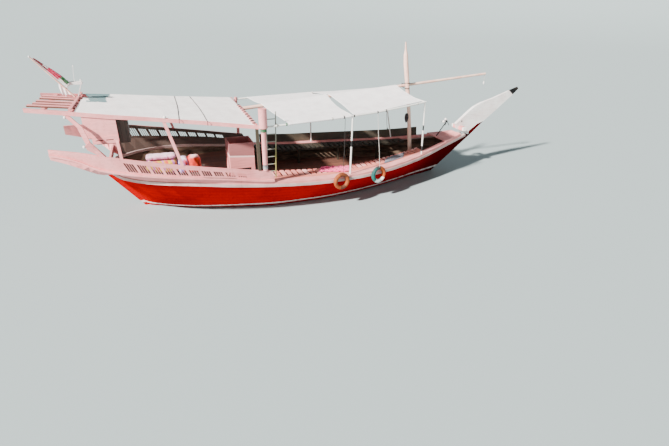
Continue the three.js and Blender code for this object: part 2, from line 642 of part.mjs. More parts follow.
// A round post whose foot follows what it stands on, up to a level top.
function standing(foot, top, radius, zFoot, sides = 12) {
  const ring = (p, r, zOf) => spread(0, sides - 1, sides - 1).map((i) => {
    const angle = (2 * Math.PI * i) / sides;
    const [x, y] = [p.x + r * Math.cos(angle), p.y + r * Math.sin(angle)];
    return point(x, y, zOf(x));
  });
  return loft([ring(foot, radius, zFoot), ring(top, radius, () => top.z)]);
}
const corner = { x: -1862, y: 2420, headLow: 2935 };
// Radius of the shaft, radius of the head, and the top.
const cornerPosts = { starboard: [75, 130, 3540], port: [60, 60, 3040] };
Object.entries(SIDES).forEach(([name, side]) => {
  const [shaft, head, top] = cornerPosts[name];
  const ring = (r, zOf) => spread(0, 19, 19).map((i) => {
    const angle = (Math.PI * i) / 10;
    const x = corner.x + r * Math.cos(angle);
    return point(x, side * corner.y + r * Math.sin(angle), zOf(x));
  });
  add(`corner_post_${name}`, loft([
    ring(shaft, bulwarkTopAt), ring(shaft, () => corner.headLow), ring(head, () => corner.headLow + 15),
    ring(head, () => top),
  ]), 'pink', 0.5);
});

// Dark square post beside the thick one, under the end of the roof's side beam
add('roof_post_starboard', strut(-1, 90, 90, [
  [-2050, bulwarkMiddle(-2050), bulwarkTopAt], [-2050, beamMiddle(-2050), roofUnder],
]), 'shade', 0.8);

// Washboard that stands on the port covering board and flares out a little
const washboard = { stations: foreStations.filter((s) => s > breakStation && s < 0.9), high: 330 };
add('washboard_port', alongSheer(1, washboard.stations, () => [
  [-12, boardTop + GAP], [18, boardTop + GAP], [64, boardTop + washboard.high], [34, boardTop + washboard.high],
]), 'shade', 0.8);

// Fore canopy: pipe rails on posts, cross pipes, and two cloths over the stowed yard

// Columns: x, half-width, height of the rail.
const railTable = [
  [-1810, 2415, 2967], [-850, 2364, 3012], [360, 2301, 3050], [1130, 2250, 3080], [2110, 2067, 3105],
  [3300, 1830, 3180], [4280, 1605, 3249],
];
const railXs = railTable.map((row) => row[0]);
const railRow = (x) => railTable[railXs.indexOf(x)];
const [railY, railZ] = [1, 2].map((i) => (x) => onLine(railXs, (at) => railRow(at)[i], x));
function rail(side, from, grow = 0) {
  return loft([from, ...railXs.slice(1)].map((x) => spread(0, 11, 11).map((i) => {
    const angle = (2 * Math.PI * i) / 12;
    const r = PIPE_R + grow;
    return point(x, side * railY(x) + r * Math.cos(angle), railZ(x) + r * Math.sin(angle));
  })));
}
// Columns: name, x at the foot, x at the top, foot's distance inside the sheer.
const posts = [['mid', 1150, 1150, 130], ['fore', 4500, 4235, 60]];
const railsWithRoom = [-1, 1].map((side) => rail(side, -1500, GAP * 1.5));
function canopyPost([, footX, topX, insideBy], side, grow = 0) {
  const foot = point(footX, side * (sheerAt(stationAt(footX)).y - insideBy), 0);
  const top = point(topX, side * railY(topX), railZ(topX) - 5 + grow);
  return standing(foot, top, PIPE_R - 2 + grow, boardTopAt);
}
Object.entries(SIDES).forEach(([sideName, side]) => {
  add(`canopy_rail_${sideName}`, rail(side, corner.x + cornerPosts[sideName][1] + 2 * GAP), 'white', 0.4);
  posts.forEach((row) => {
    add(`canopy_post_${row[0]}_${sideName}`, cut(canopyPost(row, side), ...railsWithRoom), 'white', 0.4);
  });
});
posts.forEach((row) => {
  const x = row[2] + 2;
  const half = railY(x) - 5;
  const pipe = pole(point(x, -half, railZ(x)), point(x, half, railZ(x)), PIPE_R * 0.85, PIPE_R * 0.85, 12);
  const postsWithRoom = [-1, 1].map((side) => canopyPost(row, side, GAP * 1.5));
  add(`canopy_cross_${row[0]}`, cut(pipe, ...railsWithRoom, ...postsWithRoom), 'white', 0.4);
});

const yardY = 135; // lashed to the mast's port side
const yardEnds = { aft: 62, fore: 44 }; // radius
const yard = { y: yardY, from: point(-2010, yardY, 3050), to: point(8080, yardY, 3870) };
const yardShare = (x) => (x - yard.from.x) / (yard.to.x - yard.from.x);
const yardZ = (x) => yard.from.z + (yard.to.z - yard.from.z) * yardShare(x);
const yardR = (x) => yardEnds.aft + (yardEnds.fore - yardEnds.aft) * yardShare(x);
add('yard', pole(yard.from, yard.to, yardEnds.aft, yardEnds.fore, 16), 'cream', 0.6);
// Each row: x at the starboard rail, at the ridge over the yard, at the port rail, and how far the
// edge bows forward midway.
const cloths = {
  canopy_cloth_aft: [
    [-1050, -1340, -1420, 0], [-850, -1000, -850, 0], [-490, -560, -490, 0], [-70, -70, -70, 0],
    [360, 360, 360, 0], [740, 740, 740, -30], [1110, 1110, 1110, -90],
  ],
  canopy_cloth_fore: [
    [1190, 1190, 1190, 60], [1650, 1650, 1650, 20], [2110, 2110, 2110, 0], [2700, 2700, 2700, 0],
    [3300, 3260, 3300, 0], [3750, 3620, 3750, 0], [4130, 3950, 4130, -40],
  ],
};
const clothInside = curve([-1500, 2110, 3300, 4300], [0, 0, 90, 110]); // of the rail's middle
const clothShares = spread(0, 1, 4);
Object.entries(cloths).forEach(([name, table]) => {
  add(name, loft(table.map(([starboard, ridge, port, bow]) => {
    const place = (side, t) => {
      const x = (side < 0 ? starboard : port) * (1 - t) + ridge * t + bow * 4 * t * (1 - t);
      const edge = railZ(x) + PIPE_R + 2 * GAP;
      const top = yardZ(x) + yardR(x) * 1.004 + 2 * GAP;
      const half = railY(x) - clothInside(x);
      const y = side * half + (yard.y + side * 60 - side * half) * t;
      return point(x, y, edge + (top - edge) * t - 120 * t * (1 - t));
    };
    const rows = [
      ...clothShares.map((t) => place(-1, t)),
      ...clothShares.slice().reverse().map((t) => place(1, t)),
    ];
    return [...rows, ...rows.slice().reverse().map((p) => point(p.x, p.y, p.z + CLOTH_THICK))];
  }), mirrorFaces), 'canvas', 0.85);
});

// Mast, raked aft

const mast = [
  [4790, FORE_DECK + GAP, 85], [4630, 1840, 76], [4550, 2540, 72], [4420, 3290, 80], [4340, 3820, 88],
  [4250, 4350, 90], [4210, 4690, 80], [4195, 4860, 42], [4165, 5150, 22],
];
add('mast', loft(mast.map(([x, z, r]) => spread(0, 15, 15).map((i) => {
  const angle = (2 * Math.PI * i) / 16;
  return point(x + r * Math.cos(angle), r * Math.sin(angle), z);
}))), 'cream', 0.6);

// Ladder from the side deck to above the rail, with one hook over the rail

const ladder = {
  xs: [-1722, -1430], r: 18, foot: point(0, -1990, 1200), head: point(0, -2280, 3400),
  rungs: [1420, 1670, 1930, 2190, 2440, 2690, 2930, 3170],
};
const ladderLean = (ladder.head.y - ladder.foot.y) / (ladder.head.z - ladder.foot.z);
const ladderY = (z) => ladder.foot.y + ladderLean * (z - ladder.foot.z);
const ladderFootZ = (x) => sideDeckTop(x) + GAP
  + ladder.r * Math.hypot(ladderLean, (sideDeckTop(x - 10) - sideDeckTop(x + 10)) / 20);
const hookX = ladder.xs[1];
const hookZ = railZ(hookX) + PIPE_R + 15 + 2 * GAP;
const hookOut = -(railY(hookX) + PIPE_R + 22);
add('ladder', join([
  ...ladder.xs.map((x) => pole(
    point(x, ladderY(ladderFootZ(x)), ladderFootZ(x)), point(x, ladder.head.y, ladder.head.z), ladder.r, ladder.r, 8,
  )),
  ...ladder.rungs.map((z) => pole(point(ladder.xs[0], ladderY(z), z), point(ladder.xs[1], ladderY(z), z), 15, 15, 8)),
  pole(point(hookX, ladderY(hookZ), hookZ), point(hookX, hookOut, hookZ), 15, 15, 8),
  pole(point(hookX, hookOut, hookZ + 14), point(hookX, hookOut, hookZ - 85), 15, 15, 8),
]), 'white', 0.4);

// Deck box, open on top

const box = { x0: -2830, x1: -2040, y0: -1650, y1: -800, top: 2330, wall: 35 };
add('deck_box', cut(
  block(box.x0, box.x1, box.y0, box.y1, AFT_DECK + GAP, box.top),
  block(box.x0 + box.wall, box.x1 - box.wall, box.y0 + box.wall, box.y1 - box.wall, AFT_DECK + 500, box.top + 50),
), 'timber', 0.7);

// Locker along the starboard bulwark with two piles of cushions on it

const locker = { x0: -5250, x1: -3600, inner: 1150, top: 1600 };
add('side_locker', loft(spread(locker.x0, locker.x1, 4).map((x) => {
  const outer = hullPointAt(x, AFT_DECK).y - WALL - 16;
  return [
    point(x, -outer, AFT_DECK + GAP), point(x, -locker.inner, AFT_DECK + GAP),
    point(x, -locker.inner, locker.top), point(x, -outer, locker.top),
  ];
})), 'shade', 0.8);
add('cushions_aft', block(-5370, -4610, -1890, -1390, locker.top + GAP, 2210), 'cushion', 0.9);
add('cushions_fore', block(-4580, -3750, -1985, -1480, locker.top + GAP, 2135), 'orange', 0.9);

// Signal stand on the rack: a small top on four slanted legs

const rackTop = (x) => roofZ(x) + 39 + rackSlats.high + GAP;
const crossTop = (x) => roofZ(x) + 120 + GAP;
const standLegs = [[-7050, crossTop, -6905], [-7400, rackTop, -7280]];
add('signal_stand', join([
  block(-7310, -6870, 665, 900, 3985, 4060),
  ...[690, 745].flatMap((y) => standLegs.map(([x, footOf, topX]) => strut(1, 30, 30, [
    [x, y, footOf], [topX, y, () => 3990],
  ]))),
]), 'white', 0.5);

// Fenders: two old tyres on the starboard side

// Columns: name, x, height of the centre, outer radius, distance from the sheer's edge.
const fenders = [['fender_aft', 700, 960, 300, 127.5], ['fender_fore', 2190, 950, 310, 125.8]];
fenders.forEach(([name, x, z, r, away]) => {
  const profile = spread(0, 11, 11).map((i) => {
    const angle = (2 * Math.PI * i) / 12;
    return new THREE.Vector2(r - 70 + 68 * Math.cos(angle), 75 * Math.sin(angle));
  });
  profile.push(profile[0].clone());
  const [edge, outward] = [sheerAt(stationAt(x)), outwardAt(stationAt(x))];
  const fender = add(name, new THREE.LatheGeometry(profile, 28), 'dark', 0.9);
  fender.rotation.z = Math.atan2(outward.x, outward.y);
  fender.position.set(edge.x + outward.x * away, -(edge.y + outward.y * away), z);
});

// Grapnel that stands on the bow deck, its arms by the stem head

const bowDeckTopAt = (x) => boardTopAt(x) + bowDeckThick + GAP;
// From the ring at the shank's low end up to the crown with its four arms.
const shank = { to: point(560, 170, 560), r: 20 };
const alongShank = new THREE.Quaternion().setFromUnitVectors(point(0, 0, 1), shank.to.clone().normalize());
const arms = [0.25, 0.75, 1.25, 1.75].map((turn) => {
  const angle = turn * Math.PI;
  const tip = point(190 * Math.cos(angle), 190 * Math.sin(angle), -150).applyQuaternion(alongShank).add(shank.to);
  return pole(shank.to.clone().multiplyScalar(0.99), tip, 20, 10, 8);
});
const grapnel = join([pole(point(0, 0, 0), shank.to, shank.r, shank.r, 8), ...arms]);
const grapnelX = 6000;
grapnel.computeBoundingBox();
const grapnelPoints = grapnel.attributes.position;
let lift = 0;
for (let i = 0; i < grapnelPoints.count; i += 1) {
  lift = Math.max(lift, bowDeckTopAt(grapnelX + grapnelPoints.getX(i)) - grapnelPoints.getZ(i));
}
add('anchor', grapnel.translate(grapnelX, 60, lift), 'dark', 0.6, 0.5);

// Flagstaff leaning aft beside the signal stand, and its furled flag

const staff = { from: point(-7140, 620, rackTop(-7160) + 15.8), to: point(-8090, 620, 4820), r: 26 };
add('flagstaff', pole(staff.from, staff.to, staff.r, 18, 10), 'cream', 0.5);
const alongStaff = (t, off) => {
  const at = staff.from.clone().lerp(staff.to, t);
  const slant = staff.to.clone().sub(staff.from).normalize();
  return [at.x + slant.z * off, at.z - slant.x * off];
};
const besideStaff = (t) => alongStaff(t, (staff.r - 8 * t) * 0.98 + GAP);
add('flag', plate([
  besideStaff(0.18), alongStaff(0.22, 170), alongStaff(0.5, 150), alongStaff(0.8, 90),
  alongStaff(0.94, 50), besideStaff(0.95),
], 600, 640), 'flag', 0.9);

export default group;
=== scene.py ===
# Looks of a small wooden passenger boat, afloat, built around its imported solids.
# Metres, +X to the bow, +Y to port, +Z up, and the water's surface at z = 0.

import json
import math

import bpy
import numpy as np
from mathutils import Matrix, Vector

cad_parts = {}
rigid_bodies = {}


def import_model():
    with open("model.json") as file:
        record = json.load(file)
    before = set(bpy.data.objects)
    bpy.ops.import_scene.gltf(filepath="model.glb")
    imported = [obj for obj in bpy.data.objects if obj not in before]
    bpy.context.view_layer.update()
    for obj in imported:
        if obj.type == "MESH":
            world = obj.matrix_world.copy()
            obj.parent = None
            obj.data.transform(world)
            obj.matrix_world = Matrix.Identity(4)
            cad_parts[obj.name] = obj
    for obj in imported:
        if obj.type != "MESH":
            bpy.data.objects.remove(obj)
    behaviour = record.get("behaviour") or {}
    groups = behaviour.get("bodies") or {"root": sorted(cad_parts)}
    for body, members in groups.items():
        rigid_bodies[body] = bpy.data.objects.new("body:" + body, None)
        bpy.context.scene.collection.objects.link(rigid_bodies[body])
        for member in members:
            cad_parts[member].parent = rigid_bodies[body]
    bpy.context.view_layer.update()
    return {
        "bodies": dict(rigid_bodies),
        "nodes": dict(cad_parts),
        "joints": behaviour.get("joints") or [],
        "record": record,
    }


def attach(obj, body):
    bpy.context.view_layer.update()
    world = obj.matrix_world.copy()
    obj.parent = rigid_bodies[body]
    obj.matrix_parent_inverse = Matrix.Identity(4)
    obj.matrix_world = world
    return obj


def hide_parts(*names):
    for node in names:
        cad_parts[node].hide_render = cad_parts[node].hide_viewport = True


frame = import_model()
nodes = frame["nodes"]
print("frame loaded:", len(nodes), "solids")


# Camera, light and floor

view = {
    "place": (-4.722, -15.813, 6.331),
    "yaw": 21.295,
    "pitch": 25.785,
    "roll": 0.880,
    "focalPixels": 450.67,
    "widthPixels": 669,
    "sensor": 36.0,
    "clipEnd": 1500.0,
    "sunDegrees": (35, -158),  # height above the water, bearing of the sun from +X
    "sunPower": 15.0,
    "sunSoftness": 3.0,
    "sunColour": (1.0, 0.965, 0.91),
    "skyStrength": 0.30,
    "skyColour": (0.80, 0.88, 0.95, 1.0),
}
floorPlan = {
    "size": 700.0,
    "count": 61,
    "spread": 4.0,    # how much closer the points lie near the boat
    "flatTo": 90.0,   # distance at which the backdrop starts to rise
    "bend": 900.0,
    "colour": (0.34, 0.41, 0.42, 1.0),
    "roughness": 0.7,
}


def makeCamera():
    # forward, right and up follow from yaw about Z, pitch below the horizon and roll about forward
    yaw, pitch, roll = (math.radians(view[k]) for k in ("yaw", "pitch", "roll"))
    forward = Vector((math.sin(yaw) * math.cos(pitch), math.cos(yaw) * math.cos(pitch), -math.sin(pitch)))
    level = Vector((math.cos(yaw), -math.sin(yaw), 0.0))
    top = level.cross(forward)
    right = level * math.cos(roll) + top * math.sin(roll)
    up = top * math.cos(roll) - level * math.sin(roll)
    camera = bpy.data.objects.new("camera", bpy.data.cameras.new("camera"))
    camera.data.sensor_fit = "HORIZONTAL"
    camera.data.sensor_width = view["sensor"]
    camera.data.lens = view["focalPixels"] * view["sensor"] / view["widthPixels"]
    camera.data.clip_end = view["clipEnd"]
    turn = Matrix((right, up, -forward)).transposed().to_4x4()
    camera.matrix_world = Matrix.Translation(Vector(view["place"])) @ turn
    bpy.context.scene.collection.objects.link(camera)
    bpy.context.scene.camera = camera


def makeLight():
    # the lamp shines along its own -Z, so its Z axis points to where the sun stands
    height, bearing = (math.radians(a) for a in view["sunDegrees"])
    level = math.cos(height)
    towards = Vector((math.cos(bearing) * level, math.sin(bearing) * level, math.sin(height)))
    sun = bpy.data.objects.new("sun", bpy.data.lights.new("sun", "SUN"))
    sun.data.energy = view["sunPower"]
    sun.data.angle = math.radians(view["sunSoftness"])
    sun.data.color = view["sunColour"]
    sun.rotation_euler = towards.to_track_quat("Z", "Y").to_euler()
    bpy.context.scene.collection.objects.link(sun)
    world = bpy.data.worlds.new("sky")
    bpy.context.scene.world = world
    world.use_nodes = True
    sky = world.node_tree.nodes["Background"]
    sky.inputs["Color"].default_value = view["skyColour"]
    sky.inputs["Strength"].default_value = view["skyStrength"]


def corners(grid):
    # the four corners of each cell of a grid, in order round the cell
    return np.stack([grid[:-1, :-1], grid[1:, :-1], grid[1:, 1:], grid[:-1, 1:]], axis=2)


def makeFloor():
    # flat at the water, and rising in a slow curve far from the boat, where it becomes the backdrop
    count, spread = floorPlan["count"], floorPlan["spread"]
    side = np.sinh(np.linspace(-1, 1, count) * spread) / np.sinh(spread) * floorPlan["size"] / 2
    x, y = np.meshgrid(side, side, indexing="ij")
    z = np.clip(np.hypot(x, y) - floorPlan["flatTo"], 0, None) ** 2 / floorPlan["bend"]
    points = np.stack([x, y, z], axis=2).reshape(-1, 3)
    quads = corners(np.arange(count * count).reshape(count, count)).reshape(-1, 4)
    mesh = bpy.data.meshes.new("floor")
    mesh.from_pydata(points.tolist(), [], quads.tolist())
    mesh.polygons.foreach_set("use_smooth", np.full(len(quads), True))
    floor = bpy.data.objects.new("floor", mesh)
    bpy.context.scene.collection.objects.link(floor)
    material = bpy.data.materials.new("paleFloor")
    material.use_nodes = True
    shader = material.node_tree.nodes["Principled BSDF"]
    shader.inputs["Base Color"].default_value = floorPlan["colour"]
    shader.inputs["Roughness"].default_value = floorPlan["roughness"]
    mesh.materials.append(material)


makeCamera()
makeLight()
makeFloor()
print("camera, light and floor")


# Shader sums: a link is one output socket, and signs between links add Math nodes

def tint(red, green, blue):
    # a colour given as 0 to 255 on screen, as the linear values that a shader takes
    parts = [c / 255 for c in (red, green, blue)]
    return tuple(c / 12.92 if c < 0.04045 else ((c + 0.055) / 1.055) ** 2.4 for c in parts) + (1.0,)


class Link:
    def __init__(self, finish, socket):
        self.finish = finish
        self.socket = socket

    def sum(self, operation, *values):
        return self.finish.node("ShaderNodeMath", {"operation": operation}, values)

    def __add__(self, other):
        return self.sum("ADD", self, other)

    def __radd__(self, other):
        return self.sum("ADD", other, self)

    def __sub__(self, other):
        return self.sum("SUBTRACT", self, other)

    def __rsub__(self, other):
        return self.sum("SUBTRACT", other, self)

    def __mul__(self, other):
        return self.sum("MULTIPLY", self, other)

    def __truediv__(self, other):
        return self.sum("DIVIDE", self, other)

    def __gt__(self, other):
        return self.sum("GREATER_THAN", self, other)

    def __lt__(self, other):
        return self.sum("LESS_THAN", self, other)

    def most(self, other):
        return self.sum("MAXIMUM", self, other)

    def part(self):
        return self.sum("FRACT", self)

    def whole(self):
        return self.sum("FLOOR", self)

    def size(self):
        return self.sum("ABSOLUTE", self)

    def wave(self):
        return self.sum("SINE", self)


class Finish:
    # a material, with the constants of its shader set on the shader's own sockets
    def __init__(self, name, **constants):
        self.material = bpy.data.materials.new(name)
        self.material.use_nodes = True
        self.tree = self.material.node_tree
        self.shader = self.tree.nodes["Principled BSDF"]
        for socket, value in constants.items():
            self.shader.inputs[socket.replace("_", " ")].default_value = value

    def node(self, kind, settings=None, values=(), output=0):
        made = self.tree.nodes.new(kind)
        for key, value in (settings or {}).items():
            if key == "stops":
                self.setStops(made.color_ramp.elements, value)
            else:
                setattr(made, key, value)
        for socket, value in values.items() if isinstance(values, dict) else enumerate(values):
            if isinstance(value, Link):
                self.tree.links.new(value.socket, made.inputs[socket])
            else:
                made.inputs[socket].default_value = value
        return Link(self, made.outputs[output])

    def setStops(self, elements, stops):
        while len(elements) < len(stops):
            elements.new(0.5)
        for element, (place, colour) in zip(elements, stops):
            element.position = place
            element.color = colour

    def place(self, scale=(1, 1, 1), shift=(0, 0, 0)):
        at = self.node("ShaderNodeTexCoord", output=3)
        return self.node("ShaderNodeVectorMath", {"operation": "MULTIPLY_ADD"}, (at, scale, shift))

    def parts(self, output):
        # the three parts of one output of the texture coordinates
        at = self.node("ShaderNodeTexCoord", output=output)
        outputs = self.node("ShaderNodeSeparateXYZ", values=(at,)).socket.node.outputs
        return [Link(self, outputs[i]) for i in range(3)]

    def axes(self):
        return self.parts(3)

    def facing(self):
        # the solid's own normal
        return self.parts(1)

    def ownMap(self):
        # the piece's own map
        return self.parts(2)[:2]

    def noise(self, vector, scale, detail=4.0, rough=0.55, warp=0.0):
        values = {"Vector": vector, "Scale": scale, "Detail": detail, "Roughness": rough,
                  "Distortion": warp}
        return self.node("ShaderNodeTexNoise", values=values)

    def mix(self, factor, first, second):
        settings = {"data_type": "RGBA", "blend_type": "MIX", "clamp_factor": True}
        return self.node("ShaderNodeMix", settings, {0: factor, 6: first, 7: second}, output=2)

    def steps(self, value, low, high):
        # 0 below low, 1 above high, and a smooth rise between them
        settings = {"interpolation_type": "SMOOTHSTEP"}
        return self.node("ShaderNodeMapRange", settings, {0: value, 1: low, 2: high, 3: 0.0, 4: 1.0})

    def ramp(self, value, stops, hard=False):
        # the stops come after the interpolation, which keeps their colours
        made = self.node("ShaderNodeValToRGB", {"stops": stops}, (value,))
        made.socket.node.color_ramp.interpolation = "CONSTANT" if hard else "LINEAR"
        return made

    def feed(self, **links):
        for socket, link in links.items():
            self.tree.links.new(link.socket, self.shader.inputs[socket.replace("_", " ")])
        return self

    def bump(self, height, distance):
        values = {"Strength": 1.0, "Distance": distance, "Height": height}
        return self.feed(Normal=self.node("ShaderNodeBump", values=values))


# Finishes

tones = {
    # columns: fresh and dull paint, dirt, bare wood
    "pink": ((240, 158, 158), (224, 132, 132), (120, 64, 58), (164, 104, 92)),
    "board": ((238, 158, 156), (212, 126, 122), (110, 62, 56), (156, 98, 88)),
    "olive": ((66, 56, 42), (44, 38, 30), (20, 18, 15), (96, 78, 62)),
    "white": ((244, 240, 238), (222, 206, 203), (150, 128, 118), (168, 140, 128)),
    "wale": ((206, 176, 172), (168, 140, 134), (70, 52, 48), (120, 92, 82)),
    "deck": ((124, 76, 60), (88, 56, 46), (40, 28, 24), (104, 76, 60)),
    "dark": ((92, 72, 64), (62, 48, 42), (30, 24, 22), (104, 84, 72)),
    "spar": ((244, 206, 188), (228, 168, 150), (136, 96, 78), (168, 124, 96)),
}
paint = {name: {part: tint(*colour) for part, colour in zip(("fresh", "dull", "dirt", "bare"), row)}
         for name, row in tones.items()}


def paintedWood(name, tone, grain=(2.2, 26.0, 26.0), streaks=0.35, chips=0.5, shade=None):
    # blotches of fresh and dull paint, grain along the timber, dirt that runs down, and chips to bare
    # wood; where the shade function gives 1, the boards have its darker tone instead
    colours = paint[tone]
    f = Finish(name)
    blotch = f.steps(f.noise(f.place(), 1.7, 5.0, 0.6), 0.35, 0.68)
    fibre = f.noise(f.place(grain), 1.0, 5.0, 0.62, 0.4)
    runs = f.noise(f.place((9.0, 9.0, 1.1), (3.1, 1.7, 0.4)), 1.0, 4.0, 0.7)
    speck = f.noise(f.place((1, 1, 1), (7.3, 2.9, 5.5)), 13.0, 6.0, 0.65)
    colour = f.mix(blotch * 0.75, colours["fresh"], colours["dull"])
    colour = f.mix(f.steps(fibre, 0.42, 0.72) * 0.22, colour, colours["dirt"])
    colour = f.mix(f.steps(runs, 0.56, 0.78) * streaks, colour, colours["dirt"])
    bare = f.steps(speck, 0.655, 0.70) * chips
    colour = f.mix(bare, colour, colours["bare"])
    if shade:
        # the darker tone is painted shade on the window cheeks and sills and on the sides of the roof's
        # slats, and dark brown on the bulwarks' inner faces
        where, darker = shade
        colour = f.mix(where(f), colour, f.mix(fibre, paint[darker]["fresh"], paint[darker]["dull"]))
    f.feed(Base_Color=colour, Roughness=0.48 + fibre * 0.22 + bare * 0.15)
    return f.bump(fibre * 0.4 - bare * 0.5 + speck * 0.25, 0.004)


windowLook = {
    "startX": -1.98,
    "high": (1.56, 0.1753),     # height of the upper line at that x, and its rise with each metre aft
    "low": (1.345, 0.1366),
    "cheekX": -1.9,
    "cabinX": -6.3,
}


def bulwarkShade(f):
    # the inner faces forward of the tails, and painted shade on the cheeks and sills of the small windows,
    # whose row rises aft between two slanting lines
    x, y, z = f.axes()
    nx, ny, nz = f.facing()
    run = x - windowLook["startX"]
    high, low = (at - run * rise for at, rise in (windowLook["high"], windowLook["low"]))
    cabin = x > windowLook["cabinX"]
    inner = ((y * ny) < -0.35) * cabin
    # painted shade on the cheeks and sills of the window openings
    cheekShade = (nx.size() > 0.6) * cabin * (x < windowLook["cheekX"])
    sillShade = (nz > 0.5) * (z < high) * (z > low) * cabin
    return inner.most(cheekShade).most(sillShade)


def slatShade(f):
    # painted shade on the sides of the long slats on the roof's aft end, as in the gaps between them
    x, y, z = f.axes()
    return (f.facing()[1].size() > 0.6) * (x < -6.955) * (y.size() < 1.15)


boxLook = {
    "middleX": -2.43,
    # the pale ledge line is a painted highlight, as of a sunlit edge along the box's face
    "ledge": (1.865, 1.915),   # its lower and upper edge at the box's middle
    "slope": 0.08,
    # the toe band is painted shade for a dark gap under the box, between two feet
    "toeShade": (1.40, 1.50),
    "toeX": -2.435,
    "toeHalf": 0.27,
    "frontY": -1.60,
}


def boxPaint():
    # mauve panel of painted shade over a pale ledge line of painted highlight and a lighter lower face,
    # with painted shade for a dark toe gap between two feet
    f = Finish("boxPaint")
    x, y, z = f.axes()
    grain = f.noise(f.place((2.2, 26.0, 26.0)), 1.0, 5.0, 0.6)
    soft = f.noise(f.place(), 2.4, 5.0, 0.6)
    colour = f.mix(soft, tint(248, 158, 156), tint(232, 136, 134))
    level = z + (x - boxLook["middleX"]) * boxLook["slope"]
    # painted shade: the upper face turns mauve, as where the roof's shadow falls on it
    shadedUpper = level > boxLook["ledge"][1]
    # painted highlight: a pale line under the shaded part, as a sunlit ledge
    ledge = (level > boxLook["ledge"][0]) * (1.0 - shadedUpper)
    colour = f.mix(shadedUpper, colour, f.mix(soft, tint(176, 108, 108), tint(156, 94, 94)))
    colour = f.mix(ledge, colour, tint(252, 206, 202))
    # painted shade: a dark band low on the front face, between two feet, for the gap under the box
    toeShade = (z > boxLook["toeShade"][0]) * (z < boxLook["toeShade"][1]) * (y < boxLook["frontY"])
    toeShade = toeShade * ((x - boxLook["toeX"]).size() < boxLook["toeHalf"])
    colour = f.mix(toeShade, colour, tint(30, 18, 16))
    colour = f.mix(f.steps(grain, 0.45, 0.75) * 0.25, colour, paint["pink"]["dirt"])
    f.feed(Base_Color=colour, Roughness=0.5 + grain * 0.2)
    return f.bump(grain * 0.5, 0.003)


def ladderPaint():
    # dull grey pipe, greenish yellow low down
    f = Finish("ladderPaint")
    x, y, z = f.axes()
    speck = f.noise(f.place(), 9.0, 6.0, 0.7)
    colour = f.mix(f.noise(f.place(), 3.0, 4.0), tint(156, 160, 150), tint(112, 112, 104))
    colour = f.mix(f.steps(z, 2.7, 1.9) * (x > -1.5), colour, tint(158, 150, 92))
    f.feed(Base_Color=colour, Roughness=0.45 + speck * 0.25)
    return f.bump(speck, 0.0015)


hullLook = {
    "lowestX": 1.5,              # where the sheer is lowest
    "rise": (0.0081, 0.0151),    # of the sheer with the square of the distance, aft and forward
    "strake": 0.155,
    "stripeTop": 0.178,
    "stripeWide": 0.085,
    "stripeRise": 0.006,
    "weedLine": -0.02,
}


def hullPaint():
    # deep red with strake seams that follow the sheer, faint stains that run down, painted shade that
    # darkens it towards the bow, a white stripe above the water that rises forward, bare planks inside and
    # weed below
    f = Finish("hullRed", Specular_IOR_Level=0.0)
    x, y, z = f.axes()
    aft = (hullLook["lowestX"] - x).most(0.0)
    fore = (x - hullLook["lowestX"]).most(0.0)
    level = z - aft * aft * hullLook["rise"][0] - fore * fore * hullLook["rise"][1]
    seamPart = (level / hullLook["strake"]).part() - 0.5
    seam = 1.0 - f.steps((0.5 - seamPart.size()), 0.0, 0.055)
    runs = f.noise(f.place((7.0, 7.0, 0.55)), 1.0, 5.0, 0.68)
    fine = f.noise(f.place((26.0, 26.0, 1.6), (0.4, 2.2, 1.0)), 1.0, 4.0, 0.6)
    blotch = f.noise(f.place(), 0.9, 5.0, 0.6)
    colour = f.mix(f.steps(blotch, 0.35, 0.7), tint(182, 0, 3), tint(156, 0, 3))
    colour = f.mix(f.steps(runs, 0.55, 0.8) * 0.5, colour, tint(92, 0, 3))
    colour = f.mix(f.steps(fine, 0.62, 0.8) * 0.14, colour, tint(150, 10, 10))
    colour = f.mix(seam * 0.5, colour, tint(66, 0, 3))
    # painted shade: the red darkens a little from amidships forward, and much more towards the bow
    colour = f.mix(f.steps(x, -1.5, 3.5) * 0.35, colour, tint(104, 0, 3))
    colour = f.mix(f.steps(x, 3.2, 6.0) * 0.85, colour, tint(36, 5, 4))
    edge = f.noise(f.place((3.0, 3.0, 3.0)), 4.0, 4.0) * 0.016
    top = hullLook["stripeTop"] + x.most(0.0) * hullLook["stripeRise"] + edge
    stripe = (z < top) * (z > top - hullLook["stripeWide"])
    chalk = f.mix(f.steps(runs, 0.45, 0.7), tint(232, 220, 216), tint(170, 140, 134))
    colour = f.mix(stripe * 0.92, colour, chalk)
    inner = (y * f.facing()[1]) < -0.001
    ribs = f.noise(f.place((2.0, 2.0, 9.0), (0.0, 3.0, 6.0)), 1.0, 5.0, 0.65)
    colour = f.mix(inner, colour, f.mix(f.steps(ribs, 0.35, 0.7), tint(112, 92, 78), tint(58, 48, 42)))
    below = z < hullLook["weedLine"]
    weed = f.mix(blotch, tint(66, 18, 20), tint(70, 54, 34))
    rough = 0.28 + runs * 0.22 + stripe * 0.2 + inner * 0.3
    f.feed(Base_Color=f.mix(below, colour, weed), Roughness=rough)
    return f.bump(blotch * 0.5 + fine * 0.12 - seam * 0.5, 0.006)


